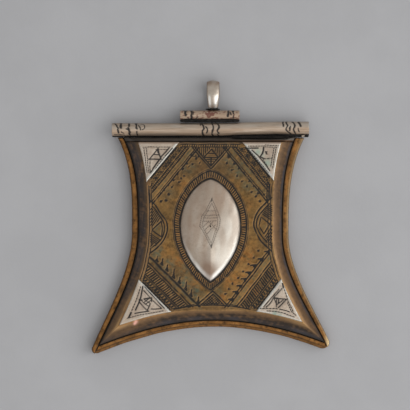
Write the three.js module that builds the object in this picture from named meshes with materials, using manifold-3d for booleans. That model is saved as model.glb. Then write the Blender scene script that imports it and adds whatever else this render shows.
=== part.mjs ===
// Amulet box pendant of brass and silver sheet, in millimetres, lying on its back.
// +Z comes out of the face, +Y runs towards the loop and +X to the right. The back is on z = 0.
// The box opens at its upper end: the cap, with both tubes and the loop, pulls off along +Y.
import * as THREE from 'three';
import { mergeVertices } from 'three/addons/utils/BufferGeometryUtils.js';
import Module from 'manifold-3d';

const wasm = await Module();
wasm.setup();

// Outline of the box, seen from the front
const topY = 30.6;
const leftTopHalf = 30.7;
const rightTopHalf = 31.0;
const leftWaistHalf = 26.0;
const rightWaistHalf = 25.7;
const leftWaistY = -0.3;
const rightWaistY = -1.5;
const leftCornerX = 40.55;
const rightCornerX = 41.05;
const leftCornerY = -42.2;
const rightCornerY = -41.1;
const topFlareSlope = 0.5;
const cornerFlareSlope = 0.4;
const hemMidX = 0.9;
const hemMidY = -31.6;
const hemCornerSlope = 0.42;
const leftTipRadius = 1.5;
const rightTipRadius = 2.1;

// Rim strips that stand on the back plate round the box
const leftRimTopWidth = 1.4;
const leftRimWaistWidth = 1.85;
const leftRimTipWidth = 1.35;
const rightRimTopWidth = 2.5;
const rightRimWaistWidth = 1.9;
const rightRimTipWidth = 1.1;
const bottomRimWidth = 1.2;
const bottomRimSetback = 0.95;
const rimHeight = 3.2;
const rimGap = 0.35;
const seamGap = 0.3;

// Sheets and heights
const plateThickness = 0.8;
const sheetThickness = 0.6;
const faceHeight = 8.0;
const kneeHeight = 4.7;
const wallBulge = 0.45;

// How far the sloping walls run in, from their foot to the edge of the face
const leftWallTopRun = 3.8;
const leftWallWaistRun = 3.0;
const leftWallTipRun = 3.3;
const rightWallTopRun = 3.6;
const rightWallWaistRun = 3.2;
const rightWallTipRun = 3.4;
const bottomWallRun = 2.85;
const bottomWallSpread = 1.1;
const bottomWallEase = 0.06;
const crownWallRun = 1.7;

// Silver corner plates on the face
const cornerPlateThickness = 0.4;
const leftTopPlateWidth = 13.6;
const leftTopPlateHeight = 13.2;
const rightTopPlateWidth = 12.9;
const rightTopPlateHeight = 12.8;
const leftBottomPlateWidth = 17.2;
const leftBottomPlateHeight = 15.2;
const rightBottomPlateWidth = 15.3;
const rightBottomPlateHeight = 14.4;

// Silver boss in the middle of the face
const bossX = -0.1;
const bossWidestY = 1.3;
const bossWidth = 19.6;
const bossTopReach = 15.4;
const bossBottomReach = 18.1;
const bossRise = 2.5;
const bossSheet = 0.5;
const bossTopRoundness = 0.65;
const bossFootRoundness = 0.88;

// Long tube along the upper end, and the strip that it is rolled round
const axisHeight = 4.1;
const tubeRadius = 2.15;
const tubeWall = 0.55;
const tubeLength = 65;
const tubeX = -0.1;
const tubeClearance = 0.42;
const tubeTilt = 0.5;
const spineThickness = 0.8;
const spineGrip = 1.0;
const slitClearance = 0.15;

// Sleeve that plugs the cap into the box
const sleeveDepth = 6.0;
const sleeveSeat = 0.9;
const sleeveSheet = 0.4;
const sleeveClearance = 0.15;

// Short tube above the long one, its saddle, and the loop
const hangerX = -0.3;
const hangerLength = 19.6;
const hangerRadius = 1.58;
const hangerWall = 0.5;
const hangerStandoff = 0.72;
const hangerSeam = 0.2;
const saddleThickness = 2.6;
const solderGap = 0.3;
const bailX = 0.8;
const bailHeight = 9.6;
const bailDepth = 8.0;
const bailWidth = 4.2;
const bailFootWidth = 3.3;
const bailStrap = 1.1;
const bailCrown = 0.45;

// Folded charm that the box holds
const paperLength = 29;
const paperWidth = 24;
const paperThickness = 2.4;
const wrapSheet = 0.5;
const wrapWidth = 27;
const wrapPlay = 0.3;
const tieThickness = 0.6;
const tieWidth = 0.9;
const tieSpacing = 15;
const charmY = -3;

// Facets
const sideSteps = 24;
const hemSteps = 32;
const wallSteps = 4;
const tipSteps = 5;
const roundSteps = 24;
const strapSteps = 4;
const bossSteps = 40;
const domeSteps = 6;

// Seats that follow from the sizes above
const rimTop = plateThickness + rimHeight;
const crownSeamY = topY - crownWallRun;
const tubeDrop = tubeLength / 2 * Math.sin(THREE.MathUtils.degToRad(tubeTilt));
const tubeY = topY + tubeClearance + tubeDrop + tubeRadius;
const hangerY = tubeY + tubeRadius + hangerStandoff + hangerRadius;
const wrapLow = plateThickness + tieThickness;
const paperLow = wrapLow + wrapSheet + wrapPlay;

// Reach of the blocks that cut other solids, well past everything
const farSide = 100;

const left = {
  sign: -1, topHalf: leftTopHalf, waistHalf: leftWaistHalf, waistY: leftWaistY,
  cornerX: leftCornerX, cornerY: leftCornerY, tipRadius: leftTipRadius,
  rim: [leftRimTopWidth, leftRimWaistWidth, leftRimTipWidth],
  wall: [leftWallTopRun, leftWallWaistRun, leftWallTipRun],
};
const right = {
  sign: 1, topHalf: rightTopHalf, waistHalf: rightWaistHalf, waistY: rightWaistY,
  cornerX: rightCornerX, cornerY: rightCornerY, tipRadius: rightTipRadius,
  rim: [rightRimTopWidth, rightRimWaistWidth, rightRimTipWidth],
  wall: [rightWallTopRun, rightWallWaistRun, rightWallTipRun],
};

// A cubic that leaves level at s = 0 and ends at s = 1 with the given rise and slope.
function flare(s, rise, slope, length) {
  const value = rise * (3 * s ** 2 - 2 * s ** 3) + slope * length * (s ** 3 - s ** 2);
  const turn = (rise * (6 * s - 6 * s ** 2) + slope * length * (3 * s ** 2 - 2 * s)) / length;
  return { value, stretch: Math.hypot(1, turn) };
}

// Where height y lies on a side: above or below the waist, and how far towards that end.
function station(side, y) {
  const above = y > side.waistY;
  const length = above ? topY - side.waistY : side.waistY - side.cornerY;
  return { above, length, s: Math.abs(y - side.waistY) / length };
}

// A width with its own value at the top, at the waist and at the tip.
function graded(side, [top, waist, tip], y) {
  const { above, s } = station(side, y);
  return waist + ((above ? top : tip) - waist) * s ** 2;
}

// X of a side's outline at height y, moved in square to it by inset.
function sideX(side, y, inset) {
  const { above, length, s } = station(side, y);
  const endHalf = above ? side.topHalf : side.cornerX;
  const slope = above ? topFlareSlope : cornerFlareSlope;
  const { value, stretch } = flare(s, endHalf - side.waistHalf, slope, length);
  return side.sign * (side.waistHalf + value - inset * stretch);
}

// How far x lies from the middle of the lower edge towards its corner.
function hemShare(x) {
  const side = x < hemMidX ? left : right;
  const reach = side.cornerX - side.sign * hemMidX;
  return { side, reach, s: Math.abs(x - hemMidX) / reach };
}

// Y of the lower edge at x, moved in square to it by inset.
function hemY(x, inset) {
  const { side, reach, s } = hemShare(x);
  const { value, stretch } = flare(s, hemMidY - side.cornerY, hemCornerSlope, reach);
  return hemMidY - value + inset * stretch;
}

// The point where an inset side meets the inset lower edge.
function cornerOf(side, sideInset, hemInset) {
  let x = side.sign * side.cornerX;
  let y = side.cornerY;
  const solveRounds = 40;
  for (let i = 0; i < solveRounds; i += 1) {
    y = hemY(x, hemInset(x));
    x = sideX(side, y, sideInset(side, y));
  }
  return new THREE.Vector2(x, y);
}

function between(a, b, t) {
  return a + (b - a) * t;
}

function sideRun(side, from, to, sideInset) {
  const points = [];
  for (let i = 0; i < sideSteps; i += 1) {
    const y = between(from, to, i / sideSteps);
    points.push(new THREE.Vector2(sideX(side, y, sideInset(side, y)), y));
  }
  return points;
}

function hemRun(from, to, hemInset, steps = hemSteps) {
  const points = [];
  for (let i = 0; i < steps; i += 1) {
    const x = between(from, to, i / steps);
    points.push(new THREE.Vector2(x, hemY(x, hemInset(x))));
  }
  return points;
}

// The whole outline, anticlockwise from its upper left corner, with each edge moved in by its own inset.
function outline(sideInset, hemInset, upperY) {
  const a = cornerOf(left, sideInset, hemInset);
  const b = cornerOf(right, sideInset, hemInset);
  const lastX = sideX(right, upperY, sideInset(right, upperY));
  return [
    ...sideRun(left, upperY, a.y, sideInset),
    ...hemRun(a.x, b.x, hemInset),
    ...sideRun(right, b.y, upperY, sideInset),
    new THREE.Vector2(lastX, upperY),
  ];
}

// Insets of the wall at a share of its run, 0 at the foot and 1 at the face, moved in further by extra.
function wallSideInset(side, y, share, extra) {
  return graded(side, side.rim, y) + rimGap + share * graded(side, side.wall, y) + extra;
}

function wallHemInset(x, share, extra) {
  const { s } = hemShare(x);
  const run = bottomWallRun + bottomWallSpread * s ** 2 / (s ** 2 + bottomWallEase);
  return bottomRimSetback + bottomRimWidth + rimGap + share * run + extra;
}

function wallRing(share, extra, upperY) {
  const sideInset = (side, y) => wallSideInset(side, y, share, extra);
  const hemInset = (x) => wallHemInset(x, share, extra);
  return outline(sideInset, hemInset, upperY);
}

// Replaces the two tip corners of the outline with round ends, and drops the points next to them.
function roundTips(points) {
  const room = 0.2;
  const corners = [{ i: sideSteps, side: left }, { i: sideSteps + hemSteps, side: right }];
  const tips = corners.map(({ i, side }) => {
    const before = points[i - 1].clone().sub(points[i]).normalize();
    const after = points[i + 1].clone().sub(points[i]).normalize();
    const half = before.angleTo(after) / 2;
    const middle = before.clone().add(after).normalize();
    const centre = points[i].clone().addScaledVector(middle, side.tipRadius / Math.sin(half));
    const reach = side.tipRadius / Math.tan(half);
    const start = points[i].clone().addScaledVector(before, reach).sub(centre);
    const arc = [];
    for (let k = 0; k <= tipSteps; k += 1) {
      const turn = (Math.PI - 2 * half) * k / tipSteps;
      arc.push(start.clone().rotateAround(new THREE.Vector2(), turn).add(centre));
    }
    return { corner: points[i], reach, arc };
  });
  return points.flatMap((p) => {
    const tip = tips.find(({ corner, reach }) => p.distanceTo(corner) < reach + room);
    if (!tip) return [p];
    return p === tip.corner ? tip.arc : [];
  });
}

// Solids
function toSolid(geometry) {
  const bare = geometry.clone();
  bare.deleteAttribute('normal');
  bare.deleteAttribute('uv');
  const merged = mergeVertices(bare, 1e-5);
  const vertProperties = new Float32Array(merged.attributes.position.array);
  const triVerts = new Uint32Array(merged.index.array);
  return new wasm.Manifold(new wasm.Mesh({ numProp: 3, vertProperties, triVerts }));
}

function toGeometry(solid) {
  const { vertProperties, triVerts } = solid.getMesh();
  const geometry = new THREE.BufferGeometry();
  geometry.setAttribute('position', new THREE.BufferAttribute(vertProperties, 3));
  geometry.setIndex(new THREE.BufferAttribute(triVerts, 1));
  geometry.computeVertexNormals();
  return geometry;
}

function prism(points, low, high) {
  const shape = new THREE.Shape(points);
  const geometry = new THREE.ExtrudeGeometry(shape, { depth: high - low, bevelEnabled: false });
  return geometry.translate(0, 0, low);
}

function block(low, high) {
  const size = high.map((value, i) => value - low[i]);
  const middle = high.map((value, i) => (value + low[i]) / 2);
  return new THREE.BoxGeometry(...size).translate(...middle);
}

// A closed body through level rings of equal count, each { points, z }, from the lowest up.
function loft(rings) {
  const count = rings[0].points.length;
  const positions = rings.flatMap(({ points, z }) => points.flatMap((p) => [p.x, p.y, z]));
  const index = [];
  rings.slice(1).forEach((_, ring) => {
    for (let i = 0; i < count; i += 1) {
      const a = ring * count + i;
      const b = ring * count + (i + 1) % count;
      index.push(a, b, b + count, a, b + count, a + count);
    }
  });
  const last = (rings.length - 1) * count;
  THREE.ShapeUtils.triangulateShape(rings[0].points, []).forEach(([a, b, c]) => index.push(a, c, b));
  THREE.ShapeUtils.triangulateShape(rings[rings.length - 1].points, []).forEach(([a, b, c]) => {
    index.push(last + a, last + b, last + c);
  });
  const geometry = new THREE.BufferGeometry();
  geometry.setAttribute('position', new THREE.Float32BufferAttribute(positions, 3));
  geometry.setIndex(index);
  return geometry;
}

// A section drawn in Y and Z, run along X over the given length about its middle.
function alongX(shape, length) {
  const geometry = new THREE.ExtrudeGeometry(shape, { depth: length, bevelEnabled: false });
  geometry.translate(0, 0, -length / 2);
  const basis = new THREE.Matrix4().makeBasis(
    new THREE.Vector3(0, 1, 0),
    new THREE.Vector3(0, 0, 1),
    new THREE.Vector3(1, 0, 0),
  );
  return geometry.applyMatrix4(basis);
}

// The body of the raised cover from lowZ up, with all its faces moved in by depth:
// a straight foot, a bowed slope and the flat face. Its upper wall can be moved out by crownShift.
function coverBody(depth, lowZ, crownShift = 0) {
  const slopeAngle = Math.atan2(faceHeight - kneeHeight, leftWallWaistRun);
  const kneeDrop = depth * Math.tan((Math.PI / 2 - slopeAngle) / 2);
  const faceCreep = depth * Math.tan(slopeAngle / 2);
  const upperEdge = topY + crownShift;
  const rings = [{ points: wallRing(0, depth, upperEdge - depth), z: lowZ }];
  for (let i = 0; i <= wallSteps; i += 1) {
    const t = i / wallSteps;
    const z = between(kneeHeight - kneeDrop, faceHeight - depth, t) + 4 * wallBulge * t * (1 - t);
    const inset = between(depth, faceCreep, t);
    rings.push({ points: wallRing(t, inset, upperEdge - t * crownWallRun - inset), z });
  }
  return toSolid(loft(rings));
}

function slab(lowY, highY, lowZ = -farSide, highZ = farSide) {
  return toSolid(block([-farSide, lowY, lowZ], [farSide, highY, highZ]));
}

// Colours and finishes
const finishes = {
  brass: { color: 0x96692f, roughness: 0.42, metalness: 1 },
  face: { color: 0x7d5f37, roughness: 0.5, metalness: 1 },
  silver: { color: 0xc3b7a4, roughness: 0.3, metalness: 1 },
  dark: { color: 0x33302b, roughness: 0.55, metalness: 1 },
  black: { color: 0x17140f, roughness: 0.7, metalness: 0.6 },
  paper: { color: 0xcdbf9c, roughness: 0.9, metalness: 0 },
  leather: { color: 0x6b3f26, roughness: 0.75, metalness: 0 },
  thread: { color: 0x8f7a5a, roughness: 0.9, metalness: 0 },
};

const pendant = new THREE.Group();
const cap = new THREE.Group();
pendant.add(cap);

function addPiece(name, geometry, finish, group = pendant) {
  const mesh = new THREE.Mesh(geometry, new THREE.MeshStandardMaterial(finishes[finish]));
  mesh.name = name;
  group.add(mesh);
  return mesh;
}

// Back plate and rim strips
const plateOutline = roundTips(outline(() => 0, () => 0, topY));
addPiece('back_plate', prism(plateOutline, 0, plateThickness), 'brass');

const rimBlock = toSolid(prism(plateOutline, plateThickness, rimTop));
const rimZone = rimBlock.intersect(slab(-farSide, topY - seamGap));

// Everything beyond the inner edge of a side's rim strip, that edge moved in by gap.
// way is 1 for the outer part and -1 for the inner part.
function besideRim(side, gap, way) {
  const pastTip = 2;
  const lowY = side.cornerY - pastTip;
  const highY = topY + pastTip;
  const inset = (_, y) => graded(side, side.rim, y) + gap;
  const points = sideRun(side, highY, lowY, inset);
  points.push(new THREE.Vector2(sideX(side, lowY, inset(side, lowY)), lowY));
  points.push(new THREE.Vector2(side.sign * way * farSide, lowY));
  points.push(new THREE.Vector2(side.sign * way * farSide, highY));
  return toSolid(prism(points, -farSide, farSide));
}

for (const [name, side] of [['rim_left', left], ['rim_right', right]]) {
  addPiece(name, toGeometry(rimZone.intersect(besideRim(side, 0, 1))), 'brass');
}

function bottomRim() {
  const lower = hemRun(-left.cornerX, right.cornerX, () => bottomRimSetback);
  const upper = hemRun(right.cornerX, -left.cornerX, () => bottomRimSetback + bottomRimWidth);
  const strip = toSolid(prism([...lower, ...upper], 0, faceHeight));
  const insideLeft = besideRim(left, seamGap, -1);
  const insideRight = besideRim(right, seamGap, -1);
  return rimZone.intersect(strip).intersect(insideLeft).intersect(insideRight);
}
addPiece('rim_bottom', toGeometry(bottomRim()), 'brass');

// Raised cover, parted at the upper edge of the face into the box's shell and the cap's closure.
// The shell's hollow runs straight out of its mouth, so that the sleeve slides through.
const cover = coverBody(0, plateThickness);
const shellHollow = coverBody(sheetThickness, 0, crownWallRun);
const shell = cover.subtract(shellHollow).intersect(slab(-farSide, crownSeamY));
addPiece('front_shell', toGeometry(shell), 'face');

// Corner plates
const faceInset = (side, y) => wallSideInset(side, y, 1, 0);
const hemFaceInset = (x) => wallHemInset(x, 1, 0);

function topPlate(side, width, height) {
  const lowY = crownSeamY - height;
  const cornerX = sideX(side, crownSeamY, faceInset(side, crownSeamY));
  const points = sideRun(side, lowY, crownSeamY, faceInset);
  points.push(new THREE.Vector2(cornerX, crownSeamY));
  points.push(new THREE.Vector2(cornerX - side.sign * width, crownSeamY));
  return points;
}

function bottomPlate(side, width, height) {
  const corner = cornerOf(side, faceInset, hemFaceInset);
  const points = sideRun(side, corner.y + height, corner.y, faceInset);
  const endX = corner.x - side.sign * width;
  points.push(...hemRun(corner.x, endX, hemFaceInset, sideSteps));
  points.push(new THREE.Vector2(endX, hemY(endX, hemFaceInset(endX))));
  return points;
}

const cornerPlates = {
  corner_plate_top_left: topPlate(left, leftTopPlateWidth, leftTopPlateHeight),
  corner_plate_top_right: topPlate(right, rightTopPlateWidth, rightTopPlateHeight),
  corner_plate_bottom_left: bottomPlate(left, leftBottomPlateWidth, leftBottomPlateHeight),
  corner_plate_bottom_right: bottomPlate(right, rightBottomPlateWidth, rightBottomPlateHeight),
};
for (const [name, points] of Object.entries(cornerPlates)) {
  addPiece(name, prism(points, faceHeight, faceHeight + cornerPlateThickness), 'silver');
}

// Boss: an almond with a rounder top and a sharper foot, dished from sheet
function bossRing(halfWidth) {
  const points = [];
  for (let i = 0; i < bossSteps; i += 1) {
    const angle = 2 * Math.PI * i / bossSteps;
    const up = Math.sin(angle);
    const reach = up > 0 ? bossTopReach : bossBottomReach;
    const roundness = up > 0 ? bossTopRoundness : bossFootRoundness;
    const across = Math.sign(Math.cos(angle)) * Math.abs(Math.cos(angle)) ** (2 * roundness);
    const y = bossWidestY + up * reach * halfWidth * 2 / bossWidth;
    points.push(new THREE.Vector2(bossX + across * halfWidth, y));
  }
  return points;
}

function bossRings(depth) {
  const rings = [];
  for (let i = 0; i < domeSteps; i += 1) {
    const angle = Math.PI / 2 * i / domeSteps;
    const halfWidth = (bossWidth / 2 - depth) * Math.cos(angle);
    rings.push({ points: bossRing(halfWidth), z: faceHeight + (bossRise - depth) * Math.sin(angle) });
  }
  return rings;
}

const bossHollow = [{ points: bossRings(bossSheet)[0].points, z: 0 }, ...bossRings(bossSheet)];
const boss = toSolid(loft(bossRings(0))).subtract(toSolid(loft(bossHollow)));
addPiece('boss_dome', toGeometry(boss), 'silver');

// Cap: closure, sleeve, strip and long tube
const slideZ = plateThickness + sleeveClearance;
const closureZone = slab(crownSeamY + seamGap, farSide, slideZ);
const closure = cover.subtract(coverBody(sheetThickness, 0)).intersect(closureZone);
addPiece('cap_closure', toGeometry(closure), 'dark', cap);

const sleeveOuter = coverBody(sheetThickness + sleeveClearance, slideZ);
const sleeveInner = coverBody(sheetThickness + sleeveClearance + sleeveSheet, slideZ + sleeveSheet);
const sleeveZone = slab(crownSeamY - sleeveDepth, crownSeamY + sleeveSeat);
addPiece('cap_sleeve', toGeometry(sleeveOuter.subtract(sleeveInner).intersect(sleeveZone)), 'brass', cap);

const spineTopY = tubeY - tubeRadius + tubeWall + spineGrip;
const spineLow = [tubeX - tubeLength / 2, topY, axisHeight - spineThickness / 2];
const spineHigh = [tubeX + tubeLength / 2, spineTopY, axisHeight + spineThickness / 2];
addPiece('cap_spine', block(spineLow, spineHigh), 'black', cap);

// A tube section with a slit of the given width on its -Y side.
function slitRing(radius, wall, slit) {
  const outerAngle = Math.asin(slit / 2 / radius);
  const innerAngle = Math.asin(slit / 2 / (radius - wall));
  const points = [];
  for (let i = 0; i <= roundSteps; i += 1) {
    const angle = between(-Math.PI + outerAngle, Math.PI - outerAngle, i / roundSteps);
    points.push(new THREE.Vector2(radius * Math.cos(angle), radius * Math.sin(angle)));
  }
  for (let i = 0; i <= roundSteps; i += 1) {
    const angle = between(Math.PI - innerAngle, -Math.PI + innerAngle, i / roundSteps);
    points.push(new THREE.Vector2((radius - wall) * Math.cos(angle), (radius - wall) * Math.sin(angle)));
  }
  return new THREE.Shape(points);
}

const tubeSection = slitRing(tubeRadius, tubeWall, spineThickness + 2 * slitClearance);
const tube = addPiece('cap_tube', alongX(tubeSection, tubeLength), 'silver', cap);
tube.rotation.z = THREE.MathUtils.degToRad(tubeTilt);
tube.position.set(tubeX, tubeY, axisHeight);

// Short tube, rolled with its seam on the saddle that joins it to the long tube
const hangerSection = slitRing(hangerRadius, hangerWall, hangerSeam);
const hanger = addPiece('hanger_tube', alongX(hangerSection, hangerLength), 'silver', cap);
hanger.position.set(hangerX, hangerY, axisHeight);

function roundBar(radius, y) {
  const geometry = new THREE.CylinderGeometry(radius, radius, farSide, 2 * roundSteps);
  return toSolid(geometry.rotateZ(Math.PI / 2).translate(hangerX, y, axisHeight));
}

const saddleBlock = toSolid(block(
  [hangerX - hangerLength / 2, tubeY, axisHeight - saddleThickness / 2],
  [hangerX + hangerLength / 2, hangerY, axisHeight + saddleThickness / 2],
));
const saddle = saddleBlock
  .subtract(roundBar(tubeRadius + solderGap, tubeY))
  .subtract(roundBar(hangerRadius + solderGap, hangerY));
addPiece('hanger_saddle', toGeometry(saddle), 'black', cap);

// Loop: a half-round strap bent into an upright ring that stands on the short tube
// Section of the strap as [across, depth below the crown], flat on the inside.
function strapSection(half) {
  const section = [[-half, bailStrap]];
  for (let i = 0; i <= strapSteps; i += 1) {
    const angle = Math.PI * i / strapSteps;
    section.push([-half * Math.cos(angle), bailCrown * (1 - Math.sin(angle))]);
  }
  section.push([half, bailStrap]);
  return section;
}

function bailGeometry() {
  const centreY = hangerY + hangerRadius + solderGap + bailHeight / 2;
  const loopSteps = 2 * roundSteps;
  const positions = [];
  for (let i = 0; i < loopSteps; i += 1) {
    const angle = 2 * Math.PI * i / loopSteps;
    const half = between(bailFootWidth, bailWidth, Math.min(1, 1 + Math.sin(angle))) / 2;
    for (const [across, depth] of strapSection(half)) {
      const y = centreY + (bailHeight / 2 - depth) * Math.sin(angle);
      const z = axisHeight + (bailDepth / 2 - depth) * Math.cos(angle);
      positions.push(bailX + across, y, z);
    }
  }
  const ring = strapSteps + 3;
  const index = [];
  for (let i = 0; i < loopSteps; i += 1) {
    const next = (i + 1) % loopSteps;
    for (let k = 0; k < ring; k += 1) {
      const a = i * ring + k;
      const b = i * ring + (k + 1) % ring;
      const c = next * ring + (k + 1) % ring;
      const d = next * ring + k;
      index.push(a, b, c, a, c, d);
    }
  }
  const geometry = new THREE.BufferGeometry();
  geometry.setAttribute('position', new THREE.Float32BufferAttribute(positions, 3));
  geometry.setIndex(index);
  return geometry;
}
addPiece('bail_loop', bailGeometry(), 'silver', cap);

// Charm: folded paper in a leather wrap, held by two thread ties, lying on the back plate
// A block round the paper, larger than it by reach on every side across Y.
function charmBlock(reach, length, middleY) {
  return toSolid(block(
    [-paperWidth / 2 - reach, middleY - length / 2, paperLow - reach],
    [paperWidth / 2 + reach, middleY + length / 2, paperLow + paperThickness + reach],
  ));
}

function charmBand(reach, sheet, length, middleY) {
  return charmBlock(reach + sheet, length, middleY).subtract(charmBlock(reach, farSide, middleY));
}

addPiece('paper_charm', toGeometry(charmBlock(0, paperLength, charmY)), 'paper');
addPiece('charm_wrap', toGeometry(charmBand(wrapPlay, wrapSheet, wrapWidth, charmY)), 'leather');
for (const [name, way] of [['charm_tie_upper', 1], ['charm_tie_lower', -1]]) {
  const tie = charmBand(wrapPlay + wrapSheet, tieThickness, tieWidth, charmY + way * tieSpacing / 2);
  addPiece(name, toGeometry(tie), 'thread');
}

export default pendant;
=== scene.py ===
"""Amulet box pendant: the surfaces that show, with engraving, patina and wear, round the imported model."""
import math

import bmesh
import bpy
import numpy as np
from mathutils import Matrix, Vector


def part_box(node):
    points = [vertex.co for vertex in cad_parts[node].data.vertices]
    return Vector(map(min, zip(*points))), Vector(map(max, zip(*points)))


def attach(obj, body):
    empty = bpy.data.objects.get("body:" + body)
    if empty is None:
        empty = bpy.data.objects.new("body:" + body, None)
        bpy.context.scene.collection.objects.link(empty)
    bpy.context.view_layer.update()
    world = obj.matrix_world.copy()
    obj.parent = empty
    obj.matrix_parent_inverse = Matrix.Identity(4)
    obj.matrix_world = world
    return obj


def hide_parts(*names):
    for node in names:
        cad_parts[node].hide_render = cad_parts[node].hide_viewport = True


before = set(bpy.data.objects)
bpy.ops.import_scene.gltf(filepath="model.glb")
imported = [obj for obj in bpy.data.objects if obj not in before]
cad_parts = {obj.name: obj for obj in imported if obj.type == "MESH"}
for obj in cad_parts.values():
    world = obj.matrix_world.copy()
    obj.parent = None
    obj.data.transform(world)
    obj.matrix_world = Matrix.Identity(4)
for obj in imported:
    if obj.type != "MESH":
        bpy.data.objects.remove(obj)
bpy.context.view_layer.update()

MM = 0.001

# Picture: one pixel of the photo in millimetres, and the pixel that shows the part's origin
PHOTO_SIDE = 410
PIXEL_SIZE = 0.33
ORIGIN_PIXEL = (210.7, 230.0)
CAMERA_DISTANCE = 900.0
SENSOR = 36.0


# Sizes read from the frame, in millimetres
def box_mm(node):
    low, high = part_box(node)
    return np.array(low) / MM, np.array(high) / MM


PLATE_TOP = box_mm("back_plate")[1][2]
TOP_Y = box_mm("back_plate")[1][1]
RIM_TOP = box_mm("rim_left")[1][2]
RIM_END_Y = box_mm("rim_left")[1][1]
FACE_Z = box_mm("front_shell")[1][2]
CROWN_Y = box_mm("front_shell")[1][1]
PLATE_Z = box_mm("corner_plate_top_left")[1][2]
CLOSURE_FOOT = box_mm("cap_closure")[0][2]

# Outline, rim and wall sizes, in millimetres, as the solids have them. The photo's hem lies a little lower
# and its rims are a little wider, which HEM_Y, HEM_WALL_DROP and RIM_SWELL allow for.
LEFT = dict(
    name="left", sign=-1, top=30.7, waist=26.0, waist_y=-0.3, corner_x=40.55, corner_y=-42.2, tip=1.5,
    rim=(1.4, 1.85, 1.35), wall=(3.8, 3.0, 3.3),
)
RIGHT = dict(
    name="right", sign=1, top=31.0, waist=25.7, waist_y=-1.5, corner_x=41.05, corner_y=-41.1, tip=2.1,
    rim=(2.5, 1.9, 1.1), wall=(3.6, 3.2, 3.4),
)
TOP_SLOPE, CORNER_SLOPE, HEM_SLOPE = 0.5, 0.4, 0.42
HEM_X, HEM_Y = 0.9, -32.1
RIM_GAP, RIM_SWELL, RIM_TRIM = 0.35, 0.2, 0.9995
HEM_RIM_SETBACK, HEM_RIM_WIDTH = 0.95, 1.2
HEM_WALL_RUN, HEM_WALL_SPREAD, HEM_WALL_EASE, HEM_WALL_DROP = 2.85, 1.1, 0.06, 0.5
KNEE_Z, WALL_BULGE = 4.7, 0.45
SHEET = 0.6
CROWN_RUN = TOP_Y - CROWN_Y
SETTLE_STEPS = 60

# Fineness of the visible meshes: distances in millimetres, then counts
FACE_PITCH, TUBE_PITCH, BAR_PITCH, EDGE_PITCH = 0.14, 0.16, 0.25, 0.12
WALL_ROWS, TUBE_ROWS, EDGE_STEPS = 22, 116, 60
WELD = 0.004

# Depth of a full groove in each kind of piece, in millimetres
FACE_CUT, PLATE_CUT, BOSS_CUT, TUBE_CUT = 0.11, 0.08, 0.05, 0.1


def flare(s, rise, slope, length):
    value = rise * (3 * s**2 - 2 * s**3) + slope * length * (s**3 - s**2)
    turn = (rise * (6 * s - 6 * s**2) + slope * length * (3 * s**2 - 2 * s)) / length
    return value, np.hypot(1, turn)


def station(side, y):
    above = y > side["waist_y"]
    length = np.where(above, TOP_Y - side["waist_y"], side["waist_y"] - side["corner_y"])
    return above, length, np.abs(y - side["waist_y"]) / length


def graded(side, widths, y):
    above, _, s = station(side, y)
    top, waist, tip = widths
    return waist + (np.where(above, top, tip) - waist) * s**2


def side_x(side, y, inset):
    """X of a side's outline at height y, moved in square to it by inset."""
    above, length, s = station(side, y)
    rise = np.where(above, side["top"], side["corner_x"]) - side["waist"]
    value, stretch = flare(s, rise, np.where(above, TOP_SLOPE, CORNER_SLOPE), length)
    return side["sign"] * (side["waist"] + value - inset * stretch)


def hem_share(x):
    right = x > HEM_X
    reach = np.where(right, RIGHT["corner_x"] - HEM_X, LEFT["corner_x"] + HEM_X)
    fall = HEM_Y - np.where(right, RIGHT["corner_y"], LEFT["corner_y"])
    return reach, fall, np.abs(x - HEM_X) / reach


def hem_y(x, inset):
    """Y of the lower edge at x, moved in square to it by inset."""
    reach, fall, s = hem_share(x)
    value, stretch = flare(s, fall, HEM_SLOPE, reach)
    return HEM_Y - value + inset * stretch


def corner_of(side, side_inset, hem_inset):
    """Where an inset side meets the inset lower edge. The insets are functions of y and of x."""
    x, y = side["sign"] * side["corner_x"], side["corner_y"]
    for _ in range(SETTLE_STEPS):
        y = hem_y(x, hem_inset(x))
        x = side_x(side, y, side_inset(y))
    return x, y


def wall_side_inset(side, y, share):
    return graded(side, side["rim"], y) + RIM_GAP + share * graded(side, side["wall"], y)


def wall_hem_inset(x, share):
    s = hem_share(x)[2]
    spread = HEM_WALL_SPREAD * s**2 / (s**2 + HEM_WALL_EASE)
    run = HEM_WALL_RUN + spread + HEM_WALL_DROP * (1 - 3 * s**2 + 2 * s**3)
    return HEM_RIM_SETBACK + HEM_RIM_WIDTH + RIM_GAP + share * run


def wall_x(side, y, share, inset=0.0):
    """X of a side wall at height y, from its foot at share 0 to the face at share 1."""
    return side_x(side, y, wall_side_inset(side, y, share) + inset)


def wall_y(x, share):
    """Y of the lower wall at x, from its foot at share 0 to the face at share 1."""
    return hem_y(x, wall_hem_inset(x, share))


def wall_corner(side, share):
    return corner_of(side, lambda y: wall_side_inset(side, y, share), lambda x: wall_hem_inset(x, share))


def wall_z(share):
    return KNEE_Z + (FACE_Z - KNEE_Z) * share + 4 * WALL_BULGE * share * (1 - share)


# Shared arithmetic
WAVE_COUNT = 8


def lerp(a, b, t):
    return a + (b - a) * t


def smoothstep(low, high, value):
    t = np.clip((value - low) / (high - low), 0, 1)
    return t * t * (3 - 2 * t)


def hump(value, width):
    """1 where the value is 0, falling off on both sides."""
    return np.exp(-((value / width) ** 2))


def spot(x, y, centre_x, centre_y, size):
    return np.exp(-((x - centre_x) ** 2 + (y - centre_y) ** 2) / (2 * size**2))


def squash(value):
    """Presses any value into the span from 0 to 1."""
    return 0.5 + 0.5 * np.tanh(value)


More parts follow.
